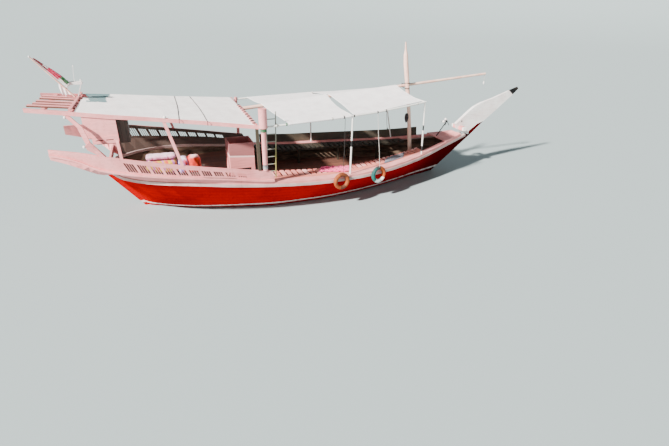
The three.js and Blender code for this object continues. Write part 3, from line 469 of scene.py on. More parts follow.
def pipePaint(name, bands=()):
    # white gloss over steel pipe with rust specks, and black tape between the heights in bands
    f = Finish(name)
    z = f.axes()[2]
    speck = f.noise(f.place(), 9.0, 6.0, 0.7)
    rust = f.steps(speck, 0.63, 0.72)
    colour = f.mix(f.noise(f.place(), 2.0, 4.0), tint(246, 246, 242), tint(224, 216, 210))
    colour = f.mix(rust * 0.7, colour, tint(140, 88, 60))
    rough = 0.3 + rust * 0.4
    for low, high in bands:
        tape = (z > low) * (z < high)
        turns = (z / 0.045).part()
        colour = f.mix(tape, colour, f.mix(turns * 0.35, tint(18, 18, 20), tint(52, 50, 50)))
        rough = rough + tape * 0.25
    f.feed(Base_Color=colour, Roughness=rough)
    return f.bump(speck * 0.4 + rust * 0.4, 0.0015)


slatLook = {
    "firstX": -1.745,
    "pitch": 0.205,
    "plankFrom": 1.85,   # the lengthwise plank starts here, and further in forward of plankX
    "plankX": -0.5,
    "plankBend": 0.047,
}


def slatPaint():
    # slats of the side deck: each board takes its own mix of salmon and pale pink from its place
    f = Finish("slatPaint")
    x, y, z = f.axes()
    board = ((x - slatLook["firstX"]) / slatLook["pitch"]).whole()
    own = ((board * 12.9898).wave() * 43758.5453).part()
    fibre = f.noise(f.place((26.0, 2.2, 26.0)), 1.0, 5.0, 0.62, 0.4)
    scuff = f.noise(f.place((1, 1, 1), (2.0, 5.0, 1.0)), 3.6, 6.0, 0.7)
    inset = (x - slatLook["plankX"]).most(0.0)
    edge = (y.size() + inset * inset * slatLook["plankBend"]) > slatLook["plankFrom"]
    colour = f.mix(own, tint(226, 112, 96), tint(246, 178, 172))
    colour = f.mix(edge, colour, tint(226, 128, 112))
    colour = f.mix(f.steps(scuff, 0.5, 0.75) * 0.7, colour, tint(150, 96, 82))
    colour = f.mix(f.steps(fibre, 0.45, 0.75) * 0.3, colour, tint(96, 62, 54))
    f.feed(Base_Color=colour, Roughness=0.5 + scuff * 0.3)
    return f.bump(fibre * 0.5 + scuff * 0.3, 0.004)


def planks(name, tone, along, width):
    # boards side by side across one axis, each with its own tone, with dark seams between them
    colours = paint[tone]
    f = Finish(name)
    axes = f.axes()
    across = axes[1 - along] if along < 2 else axes[0]
    board = (across / width).whole()
    own = ((board * 78.233).wave() * 43758.5453).part()
    gap = 1.0 - f.steps(0.5 - ((across / width).part() - 0.5).size(), 0.0, 0.04)
    grain = [24.0, 24.0, 24.0]
    grain[along] = 2.0
    fibre = f.noise(f.place(tuple(grain)), 1.0, 5.0, 0.62, 0.5)
    scuff = f.noise(f.place(), 2.3, 6.0, 0.7)
    colour = f.mix(own * 0.7 + scuff * 0.3, colours["fresh"], colours["dull"])
    colour = f.mix(f.steps(fibre, 0.42, 0.75) * 0.35, colour, colours["dirt"])
    colour = f.mix(f.steps(scuff, 0.58, 0.74) * 0.4, colour, colours["bare"])
    colour = f.mix(gap, colour, colours["dirt"])
    f.feed(Base_Color=colour, Roughness=0.52 + scuff * 0.25)
    return f.bump(fibre * 0.4 - gap * 0.9, 0.005)


def beamPaint():
    # pink beam with white ends
    f = Finish("beamPaint")
    y = f.axes()[1]
    grain = f.noise(f.place((26.0, 2.2, 26.0)), 1.0, 5.0, 0.6)
    colour = f.mix(f.noise(f.place(), 4.0), paint["pink"]["fresh"], paint["pink"]["dull"])
    colour = f.mix(y.size() > 0.33, colour, f.mix(grain * 0.3, tint(246, 244, 240), tint(190, 176, 170)))
    colour = f.mix(f.steps(grain, 0.5, 0.75) * 0.25, colour, paint["pink"]["dirt"])
    f.feed(Base_Color=colour, Roughness=0.45 + grain * 0.2)
    return f.bump(grain * 0.5, 0.003)


def metal(name, dark, light, roughness, metallic):
    # two tones in broad patches, with fine pits
    f = Finish(name, Metallic=metallic)
    pits = f.noise(f.place(), 26.0, 6.0, 0.7)
    wear = f.noise(f.place(), 5.0, 5.0, 0.6)
    f.feed(Base_Color=f.mix(f.steps(wear, 0.4, 0.7), dark, light), Roughness=roughness + pits * 0.25)
    return f.bump(pits * 0.6 + wear * 0.4, 0.002)


def tyreRubber(name, centre, stops):
    # old rubber with paint brushed on by sectors round the tyre's middle, worn off at the tread's edges
    f = Finish(name)
    x, y, z = f.axes()
    rise, run = z - centre[1], x - centre[0]
    turn = f.node("ShaderNodeMath", {"operation": "ARCTAN2"}, (rise, run)) / (2 * math.pi) + 0.5
    patch = f.noise(f.place(), 9.0, 6.0, 0.75)
    brushed = f.ramp(turn + patch * 0.06 - 0.03, stops, hard=True)
    away = f.node("ShaderNodeMath", {"operation": "SQRT"}, (rise * rise + run * run,))
    tread = ((turn * 44.0).part() - 0.5).size()
    worn = f.steps(patch, 0.52, 0.66)
    colour = f.mix(worn * 0.85, brushed, tint(34, 32, 32))
    colour = f.mix(f.steps(away, 0.292, 0.299) * 0.6, colour, tint(28, 27, 27))
    f.feed(Base_Color=colour, Roughness=0.62 + patch * 0.25)
    return f.bump(patch * 0.4 + tread * f.steps(away, 0.25, 0.29) * 0.5, 0.006)


def weave(f, thread):
    # fine over-and-under threads on the piece's own map, in metres
    u, v = f.ownMap()
    count = 2 * math.pi / thread
    return (u * count).wave() * (v * count).wave() * 0.5 + 0.5


def cloth(name, colours, thread, stains):
    # woven sheet of two close tones, with spots and threads in a third
    first, second, third = [tint(*colour) for colour in colours]
    f = Finish(name, Sheen_Weight=0.25, Sheen_Roughness=0.5)
    threads = weave(f, thread)
    soft = f.noise(f.place(), 2.2, 5.0, 0.6)
    folds = f.noise(f.place((1.0, 3.0, 3.0), (4.0, 1.0, 2.0)), 4.0, 4.0, 0.55, 0.8)
    spots = f.noise(f.place((1, 1, 1), (1.0, 8.0, 3.0)), 5.0, 6.0, 0.72)
    colour = f.mix(f.steps(soft, 0.3, 0.7), first, second)
    colour = f.mix(f.steps(spots, 0.56, 0.76) * stains, colour, third)
    colour = f.mix(threads * 0.08, colour, third)
    f.feed(Base_Color=colour, Roughness=0.8 + threads * 0.12)
    return f.bump(threads * 0.25 + folds * 1.2, 0.0054)


def awningCloth():
    # white sheet with a faint pink cast, and a faded teal patch at its far aft corner
    f = cloth("awningCloth", ((250, 246, 245), (236, 226, 226), (196, 176, 174)), 0.005, 0.35)
    x, y, z = f.axes()
    edge = f.noise(f.place(), 3.2, 5.0, 0.6, 0.6) * 0.5
    far = f.steps(y + edge, 0.85, 0.9) * (x + edge < -6.2)
    tongue = f.steps(y + edge, 0.25, 0.3) * (x + edge < -6.0) * (x + edge > -6.5)
    white = f.shader.inputs["Base Color"].links[0].from_socket
    return f.feed(Base_Color=f.mix(far.most(tongue), Link(f, white), tint(0, 92, 98)))


def flagCloth():
    # bands over the gathered cloth: on its own map u runs up the staff and v away from it
    f = Finish("flagCloth", Roughness=0.85, Sheen_Weight=0.3, Sheen_Roughness=0.5)
    u, v = f.ownMap()
    drift = f.noise(f.place(), 7.0, 3.0) * 0.08 - 0.04
    u, v = u + drift, v + drift
    magenta, crimson = tint(226, 0, 96), tint(150, 0, 36)
    white, green = tint(250, 248, 246), tint(0, 116, 44)
    colour = f.mix((u < 0.30) * (v > 0.52) * (u > 0.06), white, green)
    colour = f.mix(u > 0.28, colour, magenta)
    colour = f.mix(u > 0.62, colour, white)
    colour = f.mix((u > 0.62) * (v < 0.45), colour, crimson)
    colour = f.mix(u > 0.76, colour, crimson)
    # painted shade in the folds: where the fold noise is high the colour darkens towards a deep purple
    folds = f.noise(f.place((1, 1, 1), (2, 3, 4)), 30.0, 4.0)
    f.feed(Base_Color=f.mix(folds * 0.25, colour, tint(70, 20, 40)))
    return f.bump(folds, 0.003)


def bundleCloth(name, low, high, levels, patches):
    # quilted cover: pale above the levels, with patches of other colours side by side lower down
    f = Finish(name, Sheen_Weight=0.3, Sheen_Roughness=0.5)
    x, y, z = f.axes()
    blot = f.noise(f.place(), 6.0, 4.0, 0.55)
    along = x * 3.4 + y * 1.3 + blot * 0.8
    colour = f.ramp(along.part(), patches, hard=False)
    crown = f.steps(z + blot * 0.08, levels[0] + 0.04, levels[1] + 0.04)
    colour = f.mix(crown, colour, f.mix(f.steps(blot, 0.4, 0.7), tint(*high), tint(*low)))
    threads = f.noise(f.place((1, 1, 1), (5, 5, 5)), 90.0, 3.0)
    fine = (x * 900.0).wave() * (z * 900.0).wave()
    f.feed(Base_Color=f.mix(threads * 0.18, colour, tint(120, 60, 70)), Roughness=0.75 + threads * 0.2)
    return f.bump(threads * 0.4 + fine * 0.1 + blot * 0.9, 0.006)


def ropeLay(name, dark, light, radius):
    # three strands laid round each other: their grooves run round the rope as they run along it, in
    # painted shade
    f = Finish(name)
    u, v = f.ownMap()
    strandWithShade = (u * (2 * math.pi / (8 * radius)) * 3 + v * (3 / radius)).wave() * 0.5 + 0.5
    fibre = f.noise(f.place(), 160.0, 4.0)
    wear = f.noise(f.place(), 4.0, 4.0)
    # painted shade in the grooves between the strands: the rope takes its dark colour there
    colour = f.mix(strandWithShade * 0.7 + fibre * 0.2, dark, light)
    colour = f.mix(f.steps(wear, 0.5, 0.75) * 0.3, colour, tint(110, 100, 92))
    f.feed(Base_Color=colour, Roughness=0.75 + fibre * 0.2)
    return f.bump(strandWithShade + fibre * 0.2, radius * 0.35)


def colourStops(*rows):
    # a colour ramp's places and colours, from rows of place, red, green, blue
    return [(place, tint(*colour)) for place, *colour in rows]


orangeTread = colourStops(
    (0.0, 140, 62, 8), (0.22, 84, 40, 14), (0.36, 146, 66, 8), (0.62, 112, 52, 14), (0.80, 150, 70, 10))
tealTread = colourStops(
    (0.0, 0, 88, 82), (0.16, 222, 226, 222), (0.34, 232, 232, 228), (0.42, 160, 66, 4),
    (0.62, 168, 74, 6), (0.70, 30, 46, 44), (0.80, 0, 74, 70))
bedding = {
    # columns: two colours of the crown, heights between which it starts, patches below it
    "pinkQuilt": ((240, 150, 190), (252, 226, 236), (2.10, 2.22), colourStops(
        (0.0, 232, 84, 140), (0.45, 244, 150, 190), (0.70, 234, 96, 150), (0.92, 246, 170, 200))),
    "yellowQuilt": ((240, 150, 190), (252, 226, 236), (2.03, 2.07), colourStops(
        (0.0, 232, 190, 0), (0.30, 222, 176, 0), (0.42, 214, 110, 190), (0.58, 214, 110, 190),
        (0.70, 228, 180, 0), (0.92, 240, 80, 60))),
    "lilacBundle": ((206, 190, 236), (246, 240, 250), (2.02, 2.08), colourStops(
        (0.0, 70, 60, 190), (0.30, 180, 140, 220), (0.55, 240, 50, 0), (0.80, 206, 176, 236))),
    "orangeBundle": ((250, 180, 180), (252, 228, 226), (2.06, 2.13), colourStops(
        (0.0, 240, 44, 0), (0.55, 228, 36, 0), (0.70, 246, 66, 4), (0.9, 232, 40, 0))),
}
finishes = {
    "hullRed": hullPaint(),
    "pinkPaint": paintedWood("pinkPaint", "pink", streaks=0.45),
    "bulwarkPaint": paintedWood("bulwarkPaint", "pink", streaks=0.45, shade=(bulwarkShade, "dark")),
    "roofPaint": paintedWood("roofPaint", "pink", streaks=0.2, chips=0.3, shade=(slatShade, "deck")),
    "boardPaint": paintedWood("boardPaint", "board", streaks=0.2, chips=0.4),
    "washboardPaint": paintedWood("washboardPaint", "olive", streaks=0.3, chips=0.3),
    "greyMetal": metal("greyMetal", tint(126, 128, 130), tint(176, 178, 178), 0.5, 0.3),
    "whitePaint": paintedWood("whitePaint", "white", streaks=0.3, chips=0.5),
    "walePaint": paintedWood("walePaint", "wale", streaks=0.6, chips=0.9),
    "sparPaint": paintedWood("sparPaint", "spar", grain=(26.0, 26.0, 2.2), streaks=0.3, chips=0.7),
    "yardPaint": paintedWood("yardPaint", "spar", streaks=0.15, chips=0.7),
    "knobWhite": paintedWood("knobWhite", "white", streaks=0.15, chips=0.3),
    "slats": slatPaint(),
    # dark olive slats for the port side deck: a shaded copy of the side deck's boards, with the canopy's
    # shade painted in
    "shadedPortSlats": planks("shadedPortSlats", "olive", 1, 0.115),
    "deckPlanks": planks("deckPlanks", "deck", 0, 0.14),
    "darkPlanks": planks("darkPlanks", "dark", 2, 0.13),
    "boxPanels": boxPaint(),
    "ladderPaint": ladderPaint(),
    "beam": beamPaint(),
    "pipe": pipePaint("pipeWhite"),
    "pipeMid": pipePaint("pipeWhiteMid", [(2.045, 2.255)]),
    "pipeFore": pipePaint("pipeWhiteFore", [(1.32, 1.54), (2.167, 2.373)]),
    "blackIron": metal("blackIron", tint(20, 20, 22), tint(52, 42, 38), 0.5, 0.6),
    "steel": metal("engineSteel", tint(92, 96, 98), tint(140, 142, 142), 0.35, 0.9),
    "bronze": metal("propellerBronze", tint(150, 112, 50), tint(196, 156, 84), 0.25, 1.0),
    "tyreAft": tyreRubber("tyreAft", (0.70, 0.96), orangeTread),
    "tyreFore": tyreRubber("tyreFore", (2.19, 0.95), tealTread),
    "canvas": cloth("canvasCloth", ((246, 242, 242), (232, 226, 228), (190, 178, 178)), 0.005, 0.25),
    "awning": awningCloth(),
    "flag": flagCloth(),
    "pinkRug": cloth("pinkRug", ((246, 44, 124), (240, 92, 146), (190, 20, 80)), 0.012, 0.6),
    "greyMat": cloth("greyMat", ((96, 104, 122), (128, 118, 128), (48, 52, 66)), 0.014, 0.7),
    "darkBag": cloth("darkBag", ((26, 24, 30), (44, 36, 40), (12, 12, 14)), 0.006, 0.5),
    "darkRope": ropeLay("darkRope", tint(18, 16, 18), tint(60, 54, 52), 0.008),
    "greenRope": ropeLay("greenRope", tint(20, 70, 44), tint(84, 150, 96), 0.009),
    "whiteRope": ropeLay("whiteRope", tint(150, 140, 134), tint(236, 230, 224), 0.009),
}
for name, row in bedding.items():
    finishes[name] = bundleCloth(name, *row)
nodeFinishes = {
    "hullRed": ["hull", "keel", "sternpost", "stem", "rudder"],
    "bulwarkPaint": ["aft_bulwark_"],
    "pinkPaint": ["transom_board", "mid_strut_", "stern_strut_", "stern_screen_", "corner_post_"],
    "washboardPaint": ["washboard_port", "roof_post_starboard"],
    "roofPaint": ["aft_roof_frame"],
    "boardPaint": ["covering_board_", "bow_deck"],
    "whitePaint": ["stem_head", "signal_stand"],
    "walePaint": ["wale_"],
    "sparPaint": ["mast", "flagstaff"],
    "yardPaint": ["yard"],
    "slats": ["side_deck_starboard"],
    "shadedPortSlats": ["side_deck_port"],
    "deckPlanks": ["fore_deck", "aft_deck"],
    "darkPlanks": ["deck_bulkhead", "side_locker", "stern_cupboard"],
    "boxPanels": ["deck_box"],
    "beam": ["bitt_beam"],
    "pipe": ["canopy_rail_", "canopy_cross_", "canopy_post_mid_port", "canopy_post_fore_port"],
    "ladderPaint": ["ladder"],
    "pipeMid": ["canopy_post_mid_starboard"],
    "pipeFore": ["canopy_post_fore_starboard"],
    "blackIron": ["stem_tip", "anchor"],
    "steel": ["engine"],
    "bronze": ["propeller"],
    "tyreAft": ["fender_aft"],
    "tyreFore": ["fender_fore"],
}
for finishName, starts in nodeFinishes.items():
    for node, solid in nodes.items():
        if any(node == start or (start.endswith("_") and node.startswith(start)) for start in starts):
            solid.data.materials.clear()
            solid.data.materials.append(finishes[finishName].material)
print("finishes on the solids")


# Shapes: every new surface is a grid of points, worked out as whole arrays

def smooth(keys, values):
    # cubic pieces through the given values: the slope at a key is the harmonic mean of the slopes on
    # either side of it, or 0 where those differ in sign
    keys, values = np.asarray(keys, float), np.asarray(values, float)
    rise = np.diff(values) / np.diff(keys)
    agree = rise[:-1] * rise[1:] > 0
    inner = np.where(agree, 2 * rise[:-1] * rise[1:] / np.where(agree, rise[:-1] + rise[1:], 1.0), 0.0)
    slope = np.concatenate([rise[:1], inner, rise[-1:]])

    def at(x):
        i = np.clip(np.searchsorted(keys, x, side="right") - 1, 0, len(keys) - 2)
        span = keys[i + 1] - keys[i]
        t = (x - keys[i]) / span
        ends = values[i] * (1 + 2 * t) * (1 - t) ** 2 + values[i + 1] * t * t * (3 - 2 * t)
        return ends + span * (slope[i] * t * (1 - t) ** 2 - slope[i + 1] * t * t * (1 - t))
    return at


def lineThrough(points, count):
    # smooth line through the points: cubic pieces that pass each point along the line between its
    # neighbours, and then evenly spaced
    p = np.asarray(points, float)
    slope = np.gradient(p, axis=0)

    def at(s):
        i = np.minimum(s.astype(int), len(p) - 2)
        t = (s - i)[:, None]
        ends = p[i] * (1 + 2 * t) * (1 - t) ** 2 + p[i + 1] * t * t * (3 - 2 * t)
        return ends + slope[i] * t * (1 - t) ** 2 - slope[i + 1] * t * t * (1 - t)
    fine = np.linspace(0, len(p) - 1, 40 * len(p))
    run = np.concatenate([[0], np.linalg.norm(np.diff(at(fine), axis=0), axis=1).cumsum()])
    return at(np.interp(np.linspace(0, run[-1], count), run, fine))


def lengthOf(line):
    # sum of the distances between neighbouring points
    return float(np.linalg.norm(np.diff(line, axis=0), axis=1).sum())


def tube(name, line, radius, finish, beside=(0, 0, 1), slot="canvas"):
    # a round piece along a line, of eight-sided rings square to it: a ring's first axis is the line's
    # direction crossed with a fixed direction, and its second is square to both
    way = np.gradient(line, axis=0)
    way /= np.linalg.norm(way, axis=1)[:, None]
    first = np.cross(way, beside)
    first /= np.linalg.norm(first, axis=1)[:, None]
    second = np.cross(way, first)
    turn = np.linspace(0, 2 * np.pi, 8, endpoint=False)[None, :, None]
    out = np.cos(turn) * first[:, None] + np.sin(turn) * second[:, None]
    grid = line[:, None] + np.broadcast_to(radius, len(line))[:, None, None] * out
    return surface(name, grid, finish, slot, around=True)


def winding(start, end, across, up, turns, perTurn=16):
    # a line wound round the axis from start to end: at share s of the axis it stands off by the two
    # half widths, at the angle 2 pi turns s
    start, end, across, up = (np.asarray(v, float) for v in (start, end, across, up))
    s = np.linspace(0, 1, int(perTurn * turns) + 1)
    angle = 2 * np.pi * turns * s
    axis = start + (end - start) * s[:, None]
    return axis + np.cos(angle)[:, None] * across + np.sin(angle)[:, None] * up


def ripples(x, y, waves):
    # a sum of plane waves, each given by its height, length, bearing and phase
    total = 0
    for high, long, bearing, phase in waves:
        run = x * math.cos(bearing) + y * math.sin(bearing)
        total = total + high * np.sin(2 * np.pi * run / long + phase)
    return total


def addMesh(name, vertices, faces, maps, finish, slot, shade):
    # faces whose signed volume is below zero point inwards, and are turned round
    fan = np.array([(f[0], f[i], f[i + 1]) for f in faces for i in range(1, len(f) - 1)])
    a, b, c = (vertices[fan[:, i]] for i in range(3))
    if float((a * np.cross(b, c)).sum()) < 0:
        faces = [f[::-1] for f in faces]
        maps = [m[::-1] for m in maps]
    mesh = bpy.data.meshes.new(name)
    mesh.from_pydata(vertices.tolist(), [], faces)
    mesh.uv_layers.new(name="UVMap").data.foreach_set("uv", np.concatenate(maps).ravel())
    mesh.polygons.foreach_set("use_smooth", np.full(len(faces), shade))
    mesh.materials.append(finishes[finish].material)
    piece = bpy.data.objects.new(name, mesh)
    bpy.context.scene.collection.objects.link(piece)
    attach(piece, "boat")
    return piece


def surface(name, points, finish, slot, around=False, shade=True, mapped=None):
    # a grid as a mesh: its own map holds the distance along each way in metres, and where it closes
    # round, a flat face closes each end
    rows, columns = points.shape[:2]
    ring = np.concatenate([points, points[:, :1]], axis=1) if around else points
    if mapped is None:
        along = np.linalg.norm(np.diff(ring, axis=0), axis=2).mean(axis=1)
        across = np.linalg.norm(np.diff(ring, axis=1), axis=2).mean(axis=0)
        runs = [np.concatenate([[0], d.cumsum()]) for d in (along, across)]
        mapped = np.stack(np.meshgrid(*runs, indexing="ij"), axis=-1)
    number = np.arange(rows * columns).reshape(rows, columns)
    number = np.concatenate([number, number[:, :1]], axis=1) if around else number
    faces = corners(number).reshape(-1, 4).tolist()
    maps = list(corners(mapped).reshape(-1, 4, 2))
    if around:
        faces += [number[0, -2::-1].tolist(), number[-1, :-1].tolist()]
        maps += [mapped[0, -2::-1], mapped[-1, :-1]]
    return addMesh(name, points.reshape(-1, 3), faces, maps, finish, slot, shade)


def ropes(name, lines, radius, finish, beside):
    # several rope lines as one piece
    pieces = []
    for i, line in enumerate(lines):
        pieces.append(tube(name if i == 0 else f"{name}{i}", line, radius, finish, beside))
    return join(pieces)


def join(pieces):
    # one object out of several, that keeps the first one's name
    if len(pieces) > 1:
        with bpy.context.temp_override(active_object=pieces[0], selected_editable_objects=pieces,
                                       selected_objects=pieces, object=pieces[0]):
            bpy.ops.object.join()
    return pieces[0]


def thicken(piece, thickness, offset=0.0):
    # gives a sheet its thickness: half to each side of the grid at offset 0, all outside it at 1
    wall = piece.modifiers.new("thickness", "SOLIDIFY")
    wall.thickness = thickness
    wall.offset = offset
    return piece


def clothSize(points):
    # width, length and area of a sheet, measured along its surface
    along = np.linalg.norm(np.diff(points, axis=0), axis=2).sum(axis=0)
    across = np.linalg.norm(np.diff(points, axis=1), axis=2).sum(axis=1)
    one = np.cross(points[1:, 1:] - points[:-1, :-1], points[1:, :-1] - points[:-1, 1:])
    return float(across.max()), float(along.max()), float(np.linalg.norm(one, axis=2).sum() / 2)


def declareSheet(piece, points):
    # states a sheet by its flat size, its width by its length, which it prints; with no
    # more area than its width by its length
    wide, long, area = clothSize(points)
    print(f"{piece.name}: cut {wide:.2f} by {long:.2f} m")


# Cloths of the fore canopy

canopy = {
    "railX": (-1.81, -0.85, 0.36, 1.13, 2.11, 3.30, 4.28),
    "railHalf": (2.415, 2.364, 2.301, 2.25, 2.067, 1.83, 1.605),
    "railZ": (2.967, 3.012, 3.05, 3.08, 3.105, 3.18, 3.249),
    "onRail": 0.0306,     # from the rail's middle up to the cloth's edge
    "insideX": (-1.5, 2.11, 3.3, 4.3),
    "inside": (0.0, 0.0, 0.09, 0.11),   # how far the edge lies inside the rail
    "yardX": (-2.01, 8.08),
    "yardZ": (3.05, 3.87),
    "yardR": (0.062, 0.044),
    "yardY": 0.135,
    "ridgeHalf": 0.06,
    "hang": 0.12,         # four times how far the middle of a half hangs below a straight line
    "waveCap": (-0.0008, 0.009),
    "lift": 0.0035,       # of the cloth's middle above the solid's lower face
    "thick": 0.004,
    # columns: x at the starboard rail, at the ridge and at the port rail, and how far a row bows
    "aft": ((-1.05, -1.34, -1.42, 0), (-0.85, -1.0, -0.85, 0), (-0.49, -0.56, -0.49, 0),
            (-0.07, -0.07, -0.07, 0), (0.36, 0.36, 0.36, 0), (0.74, 0.74, 0.74, -0.03),
            (1.11, 1.11, 1.11, -0.09)),
    "fore": ((1.19, 1.19, 1.19, 0.06), (1.65, 1.65, 1.65, 0.02), (2.11, 2.11, 2.11, 0), (2.7, 2.7, 2.7, 0),
             (3.3, 3.26, 3.3, 0), (3.75, 3.62, 3.75, 0), (4.13, 3.95, 4.13, -0.04)),
    "sleeveDegrees": 215,
    "hem": 0.0065,
}


def railAt(x, side):
    # y and z of the rail's middle
    half = np.interp(x, canopy["railX"], canopy["railHalf"])
    return side * half, np.interp(x, canopy["railX"], canopy["railZ"])


def canopySurface(table, rows, shares):
    # rows go forward and columns from starboard rail to ridge to port rail; a cloth's half falls from the
    # yard to its rail on a hanging curve, with small waves that die out at the edges
    table = np.asarray(table, float)
    s = np.linspace(0, len(table) - 1, rows)
    rowAt = [np.interp(s, np.arange(len(table)), table[:, k])[:, None] for k in range(4)]
    halves = []
    for side, share in ((-1, shares), (1, shares[::-1][1:])):
        t = share[None, :]
        edgeX = rowAt[0] if side < 0 else rowAt[2]
        x = edgeX * (1 - t) + rowAt[1] * t + rowAt[3] * 4 * t * (1 - t)
        railHalf, railZ = railAt(x, 1)
        half = railHalf - smooth(canopy["insideX"], canopy["inside"])(x)
        edge = railZ + canopy["onRail"]
        radius = np.interp(x, canopy["yardX"], canopy["yardR"])
        top = np.interp(x, canopy["yardX"], canopy["yardZ"]) + radius * 1.004 + 0.0006
        y = side * half + (canopy["yardY"] + side * canopy["ridgeHalf"] - side * half) * t
        z = edge + (top - edge) * t - canopy["hang"] * t * (1 - t) + canopy["lift"]
        calm = np.clip(4 * t * (1 - t), 0, 1)
        waves = ((0.0045, 0.83, 0.3, 1.0 + side), (0.0035, 1.31, 1.1, 2.0),
                 (0.003, 0.47, -0.5, 0.4 - side))
        z = z + np.clip(ripples(x, y * 0.6, waves), *canopy["waveCap"]) * calm
        halves.append(np.stack([x, y, z], axis=2))
    return np.concatenate(halves, axis=1)


def sleeve(points, side):
    # carries a cloth's edge on round the rail: from the top of the pipe outwards and under, at one radius
    edge = points[:, 0] if side < 0 else points[:, -1]
    y, z = railAt(edge[:, 0], side)
    radius = (edge[:, 2] - z)[:, None]
    turn = np.radians(np.linspace(0, canopy["sleeveDegrees"], 15)[1:])[None, :]
    x = np.repeat(edge[:, :1], turn.shape[1], axis=1)
    y = y[:, None] + side * radius * np.sin(turn)
    around = np.stack([x, y, z[:, None] + radius * np.cos(turn)], axis=2)
    return np.concatenate([around[:, ::-1], points] if side < 0 else [points, around], axis=1)


ridgeShares = np.concatenate([np.linspace(0, 0.9, 26), np.linspace(0.925, 1.0, 4)])
aftCloth = canopySurface(canopy["aft"], 72, ridgeShares)
foreCloth = canopySurface(canopy["fore"], 84, ridgeShares)
aftWrapped = sleeve(sleeve(aftCloth, -1), 1)
foreWrapped = sleeve(foreCloth, 1)
canopyAft = thicken(surface("canopyClothAft", aftWrapped, "canvas", "canvas"), canopy["thick"])
canopyFore = thicken(surface("canopyClothFore", foreWrapped, "canvas", "canvas"), canopy["thick"])
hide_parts("canopy_cloth_aft")
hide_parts("canopy_cloth_fore")


def hemLine(name, points):
    # the cloth's folded hem along its first or last row or its free edge
    return tube(name, points, canopy["hem"], "canvas", (0, 0.2, 1))


hems = [hemLine("hemAftRear", aftCloth[0]), hemLine("hemAftFront", aftCloth[-1])]
declareSheet(canopyAft, aftWrapped)
hems = [hemLine("hemForeRear", foreCloth[0]), hemLine("hemForeFront", foreCloth[-1]),
        hemLine("hemForeEdge", foreCloth[:, 0])]
declareSheet(canopyFore, foreWrapped)
print("canopy cloths")


# Awning on the aft roof, and the two lines over it

awning = {
    "fore": -2.08,
    "halfX": (-8.19, -7.52, -6.87, -6.04, -5.0, -3.65, -2.0),
    "half": (1.28, 1.40, 1.53, 1.70, 1.83, 2.06, 2.42),
    "inset": 0.045,
    "roof": (-2.0, 2.98, 0.1066),      # x and height at the front, and the rise of each metre aft
    "beamUp": 0.0403,                  # from that height to the upper face of the beams
    "overBeam": (0.17, 0.10, 0.0605),  # where it starts and ends to climb onto the side beam, and how high
    "crown": 0.04,
    "lift": 0.0045,
    "sag": 0.012,
    "waveCap": (-0.003, 0.006),
    "edgeY": (-1.45, -0.7, -0.13, 0.30, 0.55, 0.78, 1.1, 1.45),
    "edgeX": (-6.93, -6.90, -6.93, -6.93, -6.89, -6.78, -6.86, -6.93),
    "beamsX": (-2.06, -3.4, -4.63, -5.9, -7.06),
    "thick": 0.004,
    "hem": 0.007,
    "ropes": (((-4.23, -1.0), (-4.16, 0.0), (-4.15, 1.0)), ((-3.45, -1.0), (-3.49, -0.17), (-3.61, 1.0))),
    "ropeRadius": 0.008,
    "ropeOut": 0.055,
    "ropeEdge": (0.06, 0.0225),        # width where the rope lies on the beam, and its height there
    "ropeDown": ((0.004, -0.06), (0.002, -0.12)),  # outwards and down, at the ends tied under the edges
}
roofHalf = smooth(awning["halfX"], awning["half"])


def roofTop(x):
    # height of the upper face of the beams, which rises aft
    frontX, front, slope = awning["roof"]
    return front + slope * (frontX - x) + awning["beamUp"]


def awningHeight(x, v):
    # a crowned sheet over the beams that hangs a little between them; v runs from -1 to 1 across the roof
    bays = np.abs(np.sin(np.pi * np.interp(-x, [-b for b in awning["beamsX"]], np.arange(5))))
    waves = ((0.004, 0.55, 0.2, 0.0), (0.003, 0.31, 1.3, 1.0), (0.0025, 0.9, -0.7, 2.0))
    loose = np.clip(ripples(x, v * 2.0, waves), *awning["waveCap"]) * (1 - v ** 4)
    height = roofTop(x) + awning["crown"] * (1 - v * v) + awning["lift"]
    height = height - awning["sag"] * bays * (1 - v ** 6) + loose
    start, end, high = awning["overBeam"]
    half = roofHalf(x)
    climb = np.clip((np.abs(v) * (half - awning["inset"]) - half + start) / (start - end), 0, 1)
    climb = climb * climb * (3 - 2 * climb)
    return height + climb * (roofTop(x) - awning["beamUp"] + high - height)


def awningPoints(rows, columns):
    # rows go forward from the awning's uneven aft edge, and columns from starboard to port
    v = np.linspace(-1, 1, columns)[None, :]
    s = np.linspace(0, 1, rows)[:, None]
    back = smooth(awning["edgeY"], awning["edgeX"])(v * 1.45)
    x = back + (awning["fore"] - back) * s
    y = v * (roofHalf(x) - awning["inset"])
    return np.stack([x, y, awningHeight(x, v + 0 * x)], axis=2)


